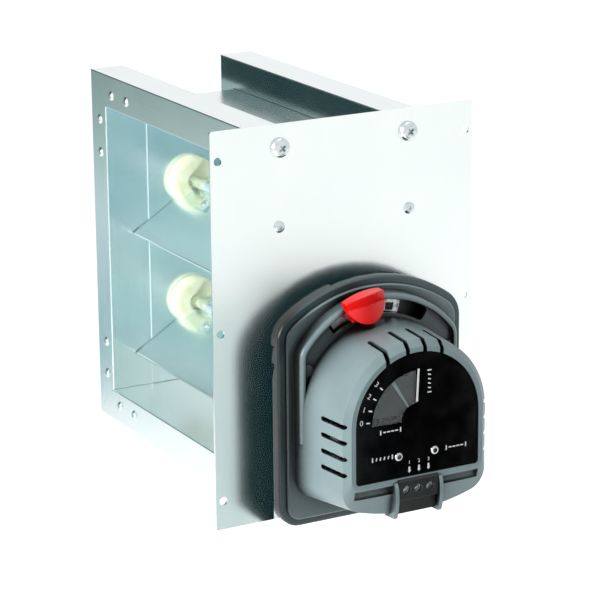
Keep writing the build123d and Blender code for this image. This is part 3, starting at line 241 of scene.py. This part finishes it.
# %% [markdown]
# The actuator's housing is moulded ABS, coloured through in a cool grey, with a fine spark-eroded grain from
# the tool. The grain is about 0.15 mm, drawn at 0.4 mm so that it just shows. Two nodes are added. Bevel
# rounds the sharp edges by a few tenths, as moulding does, which catches a line of light. Ambient Occlusion
# paints shade into the colour: the corner between the drum and its flange is painted nearly black, the way a
# part like this always looks there in shade.

# %% Moulded ABS, with painted corner shade
ABS_GRAIN = 0.4 * MM
ABS_GRAIN_DEPTH = 0.06 * MM
FLOW_SCALE = 30.0  # flow marks about 33 mm across
# painted shade reaches this far: occlusion within it darkens the colour
PAINTED_SHADE_REACH = 34.0 * MM


def moulded_abs(name, light, dark, roughness, edge_mm=0.5, grain=0.2, corner=None, shut_in=0.42, clear=0.80):
    """Moulded plastic with edges rounded by edge_mm millimetres.

    corner is the painted shade deep in a corner. It rules where a point is shut in, and is gone where it is
    clear.
    """
    material = new_material(name)
    coordinates = add_node(material, "ShaderNodeTexCoord").outputs["Object"]
    flow = add_node(material, "ShaderNodeTexNoise",
                    {"Vector": coordinates, "Scale": FLOW_SCALE, "Detail": 3.0}).outputs["Fac"]
    pits = add_node(material, "ShaderNodeTexNoise",
                    {"Vector": coordinates, "Scale": 1 / ABS_GRAIN, "Detail": 2.0}).outputs["Fac"]
    rounded = add_node(material, "ShaderNodeBevel", {"Radius": edge_mm * MM}, samples=6).outputs[0]
    bump = add_node(material, "ShaderNodeBump",
                    {"Height": pits, "Strength": grain, "Distance": ABS_GRAIN_DEPTH, "Normal": rounded})
    rough = add_node(material, "ShaderNodeMapRange",
                     {"Value": flow, "From Min": 0.3, "From Max": 0.7,
                      "To Min": roughness - 0.04, "To Max": roughness + 0.05}).outputs[0]
    colour = add_node(material, "ShaderNodeValToRGB", {"Fac": flow},
                      stops=[(0.3, dark), (0.7, light)]).outputs["Color"]
    if corner:
        # painted shade: the colour is mixed towards corner where ambient occlusion finds the point shut in
        air = add_node(material, "ShaderNodeAmbientOcclusion", {"Distance": PAINTED_SHADE_REACH}, samples=8)
        unshaded_share = add_node(material, "ShaderNodeMapRange",
                             {"Value": air.outputs["AO"], "From Min": shut_in, "From Max": clear}).outputs[0]
        colour = add_node(material, "ShaderNodeMixRGB",
                          {"Fac": unshaded_share, "Color1": linear(corner), "Color2": colour}).outputs["Color"]
    plastic = add_node(material, "ShaderNodeBsdfPrincipled",
                       {"Base Color": colour, "Roughness": rough, "IOR": 1.53, "Normal": bump.outputs[0]})
    add_node(material, "ShaderNodeOutputMaterial", {"Surface": plastic.outputs[0]})
    return material


# The cover and the base get painted corner shade, near black, between the drum and its flange.
cover_abs = moulded_abs("grey moulded ABS, cover", "#8B9FA2", "#819598", 0.32, corner="#04070A",
                        shut_in=0.50, clear=0.94)
base_abs = moulded_abs("dark grey moulded ABS, base", "#4D5F62", "#445558", 0.34, corner="#06090A")
block_black = moulded_abs("black moulded nylon, terminal block", "#0B0C0D", "#060708", 0.35, edge_mm=0.3)
red_abs = moulded_abs("red gloss ABS", "#FB0201", "#EF0101", 0.26, edge_mm=0.9, grain=0.05)
pointer_abs = moulded_abs("grey moulded ABS, pointer", "#8B9DA0", "#819396", 0.4)
mask_green = moulded_abs("green solder mask", "#1F5B38", "#194D2F", 0.3)
paint(cover_abs, "actuator_cover")
paint(base_abs, "actuator_base")
paint(block_black, "terminal_block")
paint(red_abs, "lever_cap")
paint(pointer_abs, "position_pointer")
paint(mask_green, "circuit_board")
print("plastics painted")

# %% [markdown]
# The front panel is a polished black polycarbonate label, and the window in it is clear. Polycarbonate has
# an index of 1.58, and a hard coat on the label cuts its glare, which is a lower specular level here. Dust
# and fine wipe marks break the gloss up slightly.

# %% Front panel, window and signal lights
POLYCARBONATE_IOR = 1.58
WIPE_SCALE = 90.0  # wipe marks about 11 mm across
RIPPLE_SCALE = 120.0  # flow ripples about 8 mm apart


def polished_panel(name, colour, wiped, roughness, metallic=0.0, specular=0.5):
    """A polished face whose wipe marks shift its colour and roughness."""
    material = new_material(name)
    coordinates = add_node(material, "ShaderNodeTexCoord").outputs["Object"]
    wipes = add_node(material, "ShaderNodeTexNoise",
                     {"Vector": coordinates, "Scale": WIPE_SCALE, "Detail": 5.0}).outputs["Fac"]
    face = add_node(material, "ShaderNodeValToRGB", {"Fac": wipes},
                    stops=[(0.3, colour), (0.8, wiped)]).outputs["Color"]
    rough = add_node(material, "ShaderNodeMapRange",
                     {"Value": wipes, "From Min": 0.3, "From Max": 0.7,
                      "To Min": roughness - 0.03, "To Max": roughness + 0.05}).outputs[0]
    shader = add_node(material, "ShaderNodeBsdfPrincipled",
                      {"Base Color": face, "Roughness": rough, "Metallic": metallic,
                       "Specular IOR Level": specular})
    if not metallic:
        shader.inputs["IOR"].default_value = POLYCARBONATE_IOR
    add_node(material, "ShaderNodeOutputMaterial", {"Surface": shader.outputs[0]})
    return material


def clear_plastic(name, tint, roughness):
    """Clear moulded plastic with a slight flow ripple."""
    material = new_material(name)
    coordinates = add_node(material, "ShaderNodeTexCoord").outputs["Object"]
    waves = add_node(material, "ShaderNodeTexNoise",
                     {"Vector": coordinates, "Scale": RIPPLE_SCALE}).outputs["Fac"]
    rough = add_node(material, "ShaderNodeMapRange",
                     {"Value": waves, "To Min": roughness, "To Max": roughness + 0.03}).outputs[0]
    plastic = add_node(material, "ShaderNodeBsdfPrincipled",
                       {"Base Color": linear(tint), "Roughness": rough, "IOR": POLYCARBONATE_IOR,
                        "Transmission Weight": 1.0})
    add_node(material, "ShaderNodeOutputMaterial", {"Surface": plastic.outputs[0]})
    return material


panel_black = polished_panel("polished black polycarbonate", "#030304", "#08080A", 0.14, specular=0.25)
window_clear = clear_plastic("clear polycarbonate window", "#EEF4F4", 0.02)
light_silver = polished_panel("silvered light guide", "#D4D8D9", "#AEB4B6", 0.16, metallic=1.0)
paint(panel_black, "front_panel")
paint(window_clear, "window_lens")
paint(light_silver, "signal_lights")
print("panel painted")

# %% [markdown]
# The panel is screen printed in white. Screen ink is opaque and satin, and thin enough in places for the
# mesh of the screen to show as a fine grain, so the white varies by a few shades.

# %% White screen ink
INK_SCALE = 2500.0  # ink grain about 0.4 mm across

ink_white = new_material("white screen ink")
ink_place = add_node(ink_white, "ShaderNodeTexCoord").outputs["Object"]
ink_cover = add_node(ink_white, "ShaderNodeTexNoise",
                     {"Vector": ink_place, "Scale": INK_SCALE, "Detail": 2.0}).outputs["Fac"]
ink_colour = add_node(ink_white, "ShaderNodeValToRGB", {"Fac": ink_cover},
                      stops=[(0.3, "#E2E7E8"), (0.6, "#FCFDFD")]).outputs["Color"]
ink_shader = add_node(ink_white, "ShaderNodeBsdfPrincipled",
                      {"Base Color": ink_colour, "Roughness": 0.45, "IOR": 1.5})
add_node(ink_white, "ShaderNodeOutputMaterial", {"Surface": ink_shader.outputs[0]})
print("ink mixed")

# %% [markdown]
# The ink stands about 0.04 mm proud, so each mark is a thin solid. It could be painted on with a mask in the
# panel's material, but a solid keeps a crisp edge at any distance. A mark is made flat in the panel's plane
# and then stood up in front of it. Its outline is drawn as polygons, or comes from Blender's own font, and is
# given its thickness by extruding it.

# %% Flat marks stood up on the panel
PANEL_FACE_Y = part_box("front_panel")[0][1]
INK = 0.04 * MM
DIGIT_SHARE = 0.70  # a digit's height as a share of the font's size


def ink_solid(name, flat_mesh):
    """Stands a flat mark up on the panel: its x and y become the panel's x and z."""
    mark = bpy.data.objects.new(name, flat_mesh)
    bpy.context.scene.collection.objects.link(mark)
    upright = Matrix.Rotation(math.radians(90), 4, "X")
    flat_mesh.transform(Matrix.Translation((0, PANEL_FACE_Y, 0)) @ upright)
    flat_mesh.materials.clear()
    flat_mesh.materials.append(ink_white)
    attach(mark, "frame")
    return mark


def printed_shapes(name, shapes):
    """One mark made of flat polygons, each a list of (x, z) corners in millimetres, anticlockwise."""
    points, faces = [], []
    for shape in shapes:
        count, first = len(shape), len(points)
        points += [(x * MM, z * MM, 0.0) for x, z in shape]
        points += [(x * MM, z * MM, INK) for x, z in shape]
        faces.append([first + i for i in reversed(range(count))])
        faces.append([first + count + i for i in range(count)])
        for i in range(count):
            j = (i + 1) % count
            faces.append([first + i, first + j, first + count + j, first + count + i])
    mesh = bpy.data.meshes.new(name)
    mesh.from_pydata(points, [], faces)
    return ink_solid(name, mesh)


def printed_number(name, text, x, z, height_mm, turn=0.0):
    """A number centred on (x, z) millimetres, turned anticlockwise by turn degrees."""
    curve = bpy.data.curves.new(name, "FONT")
    curve.body = text
    curve.size = height_mm * MM / DIGIT_SHARE
    curve.align_x, curve.align_y = "CENTER", "CENTER"
    curve.extrude = INK / 2
    curve.resolution_u = 4
    letters = bpy.data.objects.new(name, curve)
    bpy.context.scene.collection.objects.link(letters)
    evaluated = letters.evaluated_get(bpy.context.evaluated_depsgraph_get())
    flat = bpy.data.meshes.new_from_object(evaluated)
    bpy.data.objects.remove(letters)
    turned = Matrix.Rotation(math.radians(turn), 4, "Z")
    flat.transform(Matrix.Translation((x * MM, z * MM, INK / 2)) @ turned)
    return ink_solid(name, flat)


def stroke(x, z, length, width, turn=0.0):
    """A straight stroke's four corners: centre, length and width in millimetres, turned by turn degrees."""
    c, s = math.cos(math.radians(turn)), math.sin(math.radians(turn))
    corners = [(-length / 2, -width / 2), (length / 2, -width / 2),
               (length / 2, width / 2), (-length / 2, width / 2)]
    return [(x + c * u - s * v, z + s * u + c * v) for u, v in corners]


print("panel face at y", round(PANEL_FACE_Y / MM, 2))

# %% [markdown]
# The scale beside the window runs from shut at the left to open at the top, with plain numbers and ticks.
# It is set round the output shaft, whose pointer it serves, and each number is turned to read towards it.

# %% Scale round the dial
SHAFT_LOW, SHAFT_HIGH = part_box("output_shaft")
DIAL_X = (SHAFT_LOW[0] + SHAFT_HIGH[0]) / 2
DIAL_Z = (SHAFT_LOW[2] + SHAFT_HIGH[2]) / 2
SCALE_ANGLES = [174.0, 161.5, 149.0, 136.5]
NUMBER_RADIUS, NUMBER_HEIGHT = 40.8, 3.5
TICK_RADIUS, TICK_LENGTH, TICK_WIDTH = 36.0, 2.6, 0.9
OPEN_LINE_RADIUS, OPEN_LINE_LENGTH, OPEN_LINE_WIDTH = 23.0, 21.5, 1.5
OPEN_LINE_ANGLE, OPEN_LINE_TURN = 89.0, 87.0


def dial_point(radius, angle):
    """A point round the dial's centre, in millimetres."""
    return (DIAL_X / MM + radius * math.cos(math.radians(angle)),
            DIAL_Z / MM + radius * math.sin(math.radians(angle)))


for number, angle in enumerate(SCALE_ANGLES):
    printed_number("scale_number_%d" % number, str(number), *dial_point(NUMBER_RADIUS, angle), NUMBER_HEIGHT,
                   turn=angle - 180)
printed_shapes("scale_ticks", [stroke(*dial_point(TICK_RADIUS, angle), TICK_LENGTH, TICK_WIDTH, turn=angle)
                               for angle in SCALE_ANGLES])
printed_shapes("open_line", [stroke(*dial_point(OPEN_LINE_RADIUS, OPEN_LINE_ANGLE), OPEN_LINE_LENGTH,
                                    OPEN_LINE_WIDTH, turn=OPEN_LINE_TURN)])
print("dial centre", round(DIAL_X / MM, 2), round(DIAL_Z / MM, 2))

# %% [markdown]
# Open and shut are shown without words, by a little row of blades seen end on between two posts. The blades
# stand apart when open, and lie in one line when shut. One function draws both, because only the blades'
# turn differs.

# %% Open and shut marks
MARK_BLADES = 4
MARK_PITCH, MARK_BLADE, MARK_WIDTH, MARK_POST = 2.9, 2.1, 0.8, 3.0
OPEN_TURN = 72.0
OPEN_MARKS = [(25.0, -31.6, 90.0), (-9.4, -77.4, 0.0)]
SHUT_MARKS = [(-3.4, -60.2, 0.0), (45.1, -78.3, 0.0)]


def blade_row(x, z, turn, shut):
    """A row of blades centred on (x, z) millimetres, turned by turn degrees."""
    c, s = math.cos(math.radians(turn)), math.sin(math.radians(turn))
    blade_turn = turn if shut else turn + OPEN_TURN
    shapes = []
    for i in range(MARK_BLADES):
        u = (i - (MARK_BLADES - 1) / 2) * MARK_PITCH
        shapes.append(stroke(x + c * u, z + s * u, MARK_BLADE, MARK_WIDTH, blade_turn))
    post = (MARK_BLADES + 1) / 2 * MARK_PITCH
    for u in (-post, post):
        shapes.append(stroke(x + c * u, z + s * u, MARK_POST, MARK_WIDTH, turn + 90))
    return shapes


printed_shapes("open_marks", [shape for place in OPEN_MARKS for shape in blade_row(*place, shut=False)])
printed_shapes("shut_marks", [shape for place in SHUT_MARKS for shape in blade_row(*place, shut=True)])
print("open marks", len(OPEN_MARKS), "shut marks", len(SHUT_MARKS))

# %% [markdown]
# Three arrows point down at the terminals, and plain numbers above them say which is which.

# %% Terminal arrows and numbers
TERMINAL_XS = [10.4, 17.5, 24.6]
ARROW_TOP, ARROW_LENGTH, ARROW_SHAFT = -86.2, 4.2, 1.3
HEAD_WIDTH, HEAD_LENGTH = 2.4, 1.6
TERMINAL_NUMBER_Z, TERMINAL_NUMBER_HEIGHT = -83.4, 2.4


def down_arrow(x):
    """An arrow centred on x millimetres that points down."""
    bottom = ARROW_TOP - ARROW_LENGTH
    neck = bottom + HEAD_LENGTH
    shaft, head = ARROW_SHAFT / 2, HEAD_WIDTH / 2
    return [(x - shaft, neck), (x - head, neck), (x, bottom), (x + head, neck), (x + shaft, neck),
            (x + shaft, ARROW_TOP), (x - shaft, ARROW_TOP)]


printed_shapes("terminal_arrows", [down_arrow(x) for x in TERMINAL_XS])
for number, x in enumerate(TERMINAL_XS, start=1):
    printed_number("terminal_number_%d" % number, str(number), x, TERMINAL_NUMBER_Z, TERMINAL_NUMBER_HEIGHT)

# %% [markdown]
# The floor and the backdrop are plain white and aren't part of the object. The floor is set well below the
# part, which hangs from its plate, so only a faint broad shadow reaches it. For the camera, and in what
# metal and clear plastic reflect or pass, the floor also glows a little, so that it reads as the same white
# as the world.

# %% Floor
FLOOR_DROP = 0.55
FLOOR_HALF = 30.0
FLOOR_GLOW = 0.84


def stage_object(name, points, faces):
    """A mesh that belongs to the studio and not to the object."""
    mesh = bpy.data.meshes.new(name)
    mesh.from_pydata(points, [], faces)
    made = bpy.data.objects.new(name, mesh)
    bpy.context.scene.collection.objects.link(made)
    return made


def white_to_the_eye(owner):
    """1 on rays from the camera, off gloss and through clear plastic, and 0 on light for matt surfaces."""
    rays = add_node(owner, "ShaderNodeLightPath").outputs
    either = add_node(owner, "ShaderNodeMath", {0: rays["Is Camera Ray"], 1: rays["Is Transmission Ray"]},
                      operation="MAXIMUM").outputs[0]
    return add_node(owner, "ShaderNodeMath", {0: either, 1: rays["Is Glossy Ray"]},
                    operation="MAXIMUM").outputs[0]


floor_z = CAD_BOX[0].z - FLOOR_DROP
floor = stage_object("studio floor", [(-FLOOR_HALF, -FLOOR_HALF, floor_z), (FLOOR_HALF, -FLOOR_HALF, floor_z),
                                      (FLOOR_HALF, FLOOR_HALF, floor_z), (-FLOOR_HALF, FLOOR_HALF, floor_z)],
                     [(0, 1, 2, 3)])
floor_white = new_material("white floor")
matt = add_node(floor_white, "ShaderNodeBsdfDiffuse", {"Color": linear("#E8E8E8")})
glow = add_node(floor_white, "ShaderNodeEmission", {"Color": linear("#FFFFFF"), "Strength": FLOOR_GLOW})
both = add_node(floor_white, "ShaderNodeAddShader", {0: matt.outputs[0], 1: glow.outputs[0]})
seen = add_node(floor_white, "ShaderNodeMixShader",
                {0: white_to_the_eye(floor_white), 1: matt.outputs[0], 2: both.outputs[0]})
add_node(floor_white, "ShaderNodeOutputMaterial", {"Surface": seen.outputs[0]})
floor.data.materials.append(floor_white)
print("floor at z", round(floor_z, 3))

# %% [markdown]
# The world works the same way: plain white to the eye, and a dim sky, lighter above than below, for the
# light that reaches matt surfaces. Without the split, a white this strong would wash the plastic out.

# %% World
SKY_STRENGTH = 0.28

world = bpy.data.worlds.new("studio")
bpy.context.scene.world = world
world.use_nodes = True
world.node_tree.nodes.clear()
direction = add_node(world, "ShaderNodeTexCoord").outputs["Generated"]
height = add_node(world, "ShaderNodeSeparateXYZ", {0: direction}).outputs["Z"]
share = add_node(world, "ShaderNodeMapRange", {"Value": height, "From Min": -1.0, "From Max": 1.0}).outputs[0]
sky = add_node(world, "ShaderNodeValToRGB", {"Fac": share},
               stops=[(0.0, "#7E8C90"), (0.42, "#AEBABD"), (0.62, "#E6ECEE"), (1.0, "#F6FAFA")])
dim = add_node(world, "ShaderNodeBackground", {"Color": sky.outputs["Color"], "Strength": SKY_STRENGTH})
white = add_node(world, "ShaderNodeBackground", {"Color": linear("#FFFFFF"), "Strength": 1.0})
mixed = add_node(world, "ShaderNodeMixShader",
                 {0: white_to_the_eye(world), 1: dim.outputs[0], 2: white.outputs[0]})
add_node(world, "ShaderNodeOutputWorld", {"Surface": mixed.outputs[0]})
print("sky strength", SKY_STRENGTH)

# %% [markdown]
# Bright metal in an all-white studio has no shape, because it reflects nothing but white. So a studio
# stands cards round it: what the metal should show dark, a dark card faces. Each card here is seen by glossy
# rays only, so it takes no light away and never stands in view. Its glow is how dark it looks in the metal.
# Two low cards in front shape the plate's foot, and a large one behind, on the left, runs in bands from
# light to dark and gives the frame its soft stripes.

# %% Cards round the object
def card(name, centre, facing, size, shades, one_sided=False):
    """A card of size (width, height) metres at centre, facing a point.

    shades are (position, hex) stops from its foot, 0, to its top, 1.
    """
    width, height = size
    board = stage_object(name, [(-width / 2, -height / 2, 0), (width / 2, -height / 2, 0),
                                (width / 2, height / 2, 0), (-width / 2, height / 2, 0)], [(0, 1, 2, 3)])
    board.location = centre
    board.rotation_euler = (Vector(facing) - Vector(centre)).to_track_quat("Z", "Y").to_euler()
    felt = new_material(name + " felt")
    place = add_node(felt, "ShaderNodeTexCoord").outputs["Generated"]
    up_the_card = add_node(felt, "ShaderNodeSeparateXYZ", {0: place}).outputs["Y"]
    shade = add_node(felt, "ShaderNodeValToRGB", {"Fac": up_the_card}, stops=shades).outputs["Color"]
    light = add_node(felt, "ShaderNodeEmission", {"Color": shade, "Strength": 1.0})
    if one_sided:
        inner_side = add_node(felt, "ShaderNodeNewGeometry").outputs["Backfacing"]
        clear = add_node(felt, "ShaderNodeBsdfTransparent")
        light = add_node(felt, "ShaderNodeMixShader",
                         {0: inner_side, 1: light.outputs[0], 2: clear.outputs[0]})
    add_node(felt, "ShaderNodeOutputMaterial", {"Surface": light.outputs[0]})
    board.data.materials.append(felt)
    board.visible_camera = board.visible_diffuse = board.visible_shadow = False
    board.visible_transmission = board.visible_volume_scatter = False
    return board


card("low front card", centre=(0.170, -0.317, -0.165), facing=(0.016, -0.06, -0.08), size=(0.115, 0.165),
     shades=[(0.0, "#04090A"), (1.0, "#081012")])
card("low left card", centre=(0.062, -0.330, -0.200), facing=(-0.08, 0.0, -0.09), size=(0.11, 0.22),
     shades=[(0.0, "#C6D6D8"), (1.0, "#DCE8E8")])
card("back left card", centre=(-0.36, 0.64, 0.21), facing=(-0.06, 0.12, 0.05), size=(1.0, 1.10),
     shades=[(0.0, "#9DBCC3"), (0.10, "#A9C5CB"), (0.19, "#D6E4E6"), (0.27, "#9FB4B1"), (0.35, "#758B87"),
             (0.50, "#5A7072"), (1.0, "#40585A")])

# %% [markdown]
# Some surfaces need a card that is bent, and tucked in close. Two dark sleeves follow the actuator's
# outline, one as deep as the lever and one nearly as deep as the drum, so that the bright plate shows the
# actuator as the dark soft shape that it throws there. They are dark on their outer side only: rays from
# inside pass through, so the actuator itself still sees the whole studio. The flange flag works on the lamps
# instead, and keeps the key lamp off the left of the actuator's base.

# %% Sleeves and flag round the actuator
SLEEVE_SHADE, FLAG_SHADE = "#0A2427", "#000000"
SLEEVE_FOOT_Y, LEVER_SLEEVE_Y, DRUM_SLEEVE_Y = -1.6 * MM, -33.0 * MM, -52.0 * MM
FLAG_FOOT_Y, FLAG_EDGE_Y = -2.0 * MM, -18.0 * MM
CROWN_FLATNESS = 0.72  # the crown's rise as a share of its half width
CROWN_STEP = 12  # degrees from one point of the crown to the next
BASE_LOW, BASE_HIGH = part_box("actuator_base")


def bent_card(name, outline, y_from, y_to, shade, most_bounces=8, blocks_lamps=False):
    """A dark sheet along an outline of (x, z) metres, from y_from to y_to, dark on its outer side only.

    A ray that has bounced more than most_bounces times doesn't see it. One that blocks the lamps is dark on
    both sides, throws a shadow, and isn't seen in gloss.
    """
    board = stage_object(name, [(x, y, z) for x, z in outline for y in (y_from, y_to)],
                         [(2 * i, 2 * i + 1, 2 * i + 3, 2 * i + 2) for i in range(len(outline) - 1)])
    felt = new_material(name + " felt")
    dark = add_node(felt, "ShaderNodeEmission", {"Color": linear(shade), "Strength": 1.0})
    if not blocks_lamps:
        inner_side = add_node(felt, "ShaderNodeNewGeometry").outputs["Backfacing"]
        bounces = add_node(felt, "ShaderNodeLightPath").outputs["Ray Depth"]
        second_hand = add_node(felt, "ShaderNodeMath", {0: bounces, 1: most_bounces + 0.5},
                               operation="GREATER_THAN").outputs[0]
        unseen = add_node(felt, "ShaderNodeMath", {0: inner_side, 1: second_hand},
                          operation="MAXIMUM").outputs[0]
        clear = add_node(felt, "ShaderNodeBsdfTransparent")
        dark = add_node(felt, "ShaderNodeMixShader", {0: unseen, 1: dark.outputs[0], 2: clear.outputs[0]})
    add_node(felt, "ShaderNodeOutputMaterial", {"Surface": dark.outputs[0]})
    board.data.materials.append(felt)
    board.visible_camera = board.visible_transmission = board.visible_volume_scatter = False
    board.visible_diffuse = board.visible_shadow = blocks_lamps
    board.visible_glossy = not blocks_lamps
    return board


def round_the_actuator(gap, crown_drop, last_angle=180):
    """The actuator's outline seen from the front, gap outside it, with its crown lowered by crown_drop."""
    centre_x = (BASE_LOW[0] + BASE_HIGH[0]) / 2
    radius = (BASE_HIGH[0] - BASE_LOW[0]) / 2 + gap
    spring_z = BASE_HIGH[2] + gap - crown_drop - CROWN_FLATNESS * radius
    outline = [(centre_x - radius, BASE_LOW[2])]
    for angle in range(0, last_angle + 1, CROWN_STEP):
        outline.append((centre_x - radius * math.cos(math.radians(angle)),
                        spring_z + CROWN_FLATNESS * radius * math.sin(math.radians(angle))))
    if last_angle == 180:
        outline.append((centre_x + radius, BASE_LOW[2]))
    return outline


bent_card("lever sleeve", round_the_actuator(gap=2.5 * MM, crown_drop=2.0 * MM), SLEEVE_FOOT_Y,
          LEVER_SLEEVE_Y, SLEEVE_SHADE)
bent_card("drum sleeve", round_the_actuator(gap=1.5 * MM, crown_drop=11.0 * MM), SLEEVE_FOOT_Y,
          DRUM_SLEEVE_Y, SLEEVE_SHADE)
bent_card("flange flag", round_the_actuator(gap=13.0 * MM, crown_drop=0.0, last_angle=36), FLAG_FOOT_Y,
          FLAG_EDGE_Y, FLAG_SHADE, blocks_lamps=True)
print("actuator from x", round(BASE_LOW[0] / MM, 1), "to", round(BASE_HIGH[0] / MM, 1))

# %% [markdown]
# Two flat cards finish the frame. The ear card lies in the channel on top and darkens the inner face of the
# right ear, for rays that come to it at first hand only, so that the channel's floor doesn't show it again.
# The light in the duct stands before the near web and gives the blades a bright wall to reflect, because so
# deep a box would be too dark inside.

# %% Ear card and light in the duct
TOP_LOW, TOP_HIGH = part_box("frame_top")
EAR_CARD_X = TOP_HIGH[0] - 33.5 * MM
EAR_CARD_TOP, EAR_CARD_FOOT = TOP_HIGH[2] - 1 * MM, TOP_HIGH[2] - 20.5 * MM
EAR_CARD_BACK_Y, EAR_CARD_FRONT_Y = TOP_HIGH[1] + 30 * MM, TOP_LOW[1] + 2 * MM
EAR_CARD_SHADE = "#1C383B"
BLADE_START_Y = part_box("blade_lower")[0][1]
DUCT_LIGHT_Y = BLADE_START_Y - 0.3 * MM
DUCT_LIGHT_HALF = TOP_HIGH[0] - 2 * MM
DUCT_LIGHT_HEIGHT = 0.200

bent_card("ear card", [(EAR_CARD_X, EAR_CARD_TOP), (EAR_CARD_X, EAR_CARD_FOOT)], EAR_CARD_BACK_Y,
          EAR_CARD_FRONT_Y, EAR_CARD_SHADE, most_bounces=1)
card("light in the duct", centre=(0.0, DUCT_LIGHT_Y, 0.0), facing=(0.0, 1.0, 0.0),
     size=(2 * DUCT_LIGHT_HALF, DUCT_LIGHT_HEIGHT),
     shades=[(0.0, "#CFE4E0"), (0.5, "#BFDDE0"), (1.0, "#8FBECB")], one_sided=True)
print("blade starts at y", round(BLADE_START_Y / MM, 2))

# %% [markdown]
# Three soft lamps. A large key from the left models the drum and reaches into the open duct. A weak fill
# from the front right keeps the shadow side of the plastic open, and is kept out of reflections, where it
# would only lift the black panel. A small one above the back touches the top of the frame.

# %% Lamps
def soft_lamp(name, place, size, power, in_gloss=True):
    """A square area lamp of size metres that faces the part's origin, power in watts."""
    data = bpy.data.lights.new(name, "AREA")
    data.size = size
    data.energy = power
    lamp = bpy.data.objects.new(name, data)
    lamp.location = place
    lamp.rotation_euler = (-Vector(place)).to_track_quat("-Z", "Y").to_euler()
    lamp.visible_glossy = in_gloss
    bpy.context.scene.collection.objects.link(lamp)
    return lamp


soft_lamp("key lamp", place=(-1.75, -0.30, 0.55), size=0.8, power=36)
soft_lamp("fill lamp", place=(0.9, -1.6, 0.9), size=1.0, power=10, in_gloss=False)
soft_lamp("top lamp", place=(0.2, 0.2, 1.5), size=0.7, power=3)
print("lamps", [light.name for light in bpy.data.lights])

# %% [markdown]
# A long lens from about 1.7 m away, a little to the left of the plate and above it, keeps the verticals
# nearly upright and shows the plate, the open side and the top together.

# %% Camera
CAMERA_AZIMUTH = -28.81
CAMERA_ELEVATION = 16.09
CAMERA_ROLL = 0.50
CAMERA_DISTANCE = 1.6995
CAMERA_LENS = 158.8
CAMERA_SENSOR = 36.0
AIM_LEFT, AIM_UP = 29.0 * MM, 9.1 * MM
PLATE_FACE_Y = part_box("mounting_plate")[0][1]

azimuth, elevation = math.radians(CAMERA_AZIMUTH), math.radians(CAMERA_ELEVATION)
level = math.cos(elevation)
back = Vector((math.sin(azimuth) * level, -math.cos(azimuth) * level, math.sin(elevation)))
right = Vector((math.cos(azimuth), math.sin(azimuth), 0.0))
up = back.cross(right)
roll = Matrix.Rotation(math.radians(CAMERA_ROLL), 3, -back)
right, up = roll @ right, roll @ up
camera_data = bpy.data.cameras.new("studio camera")
camera_data.lens = CAMERA_LENS
camera_data.sensor_width = CAMERA_SENSOR
camera_data.clip_start, camera_data.clip_end = 0.05, 100.0
camera = bpy.data.objects.new("studio camera", camera_data)
bpy.context.scene.collection.objects.link(camera)
aim = Vector((0, PLATE_FACE_Y, 0)) - right * AIM_LEFT + up * AIM_UP
basis = Matrix((right, up, back)).transposed()
camera.matrix_world = Matrix.Translation(aim + back * CAMERA_DISTANCE) @ basis.to_4x4()
bpy.context.scene.camera = camera
bpy.context.scene.view_settings.view_transform = "Standard"
print("camera at", [round(v, 3) for v in camera.location], "plate face y", round(PLATE_FACE_Y / MM, 2))
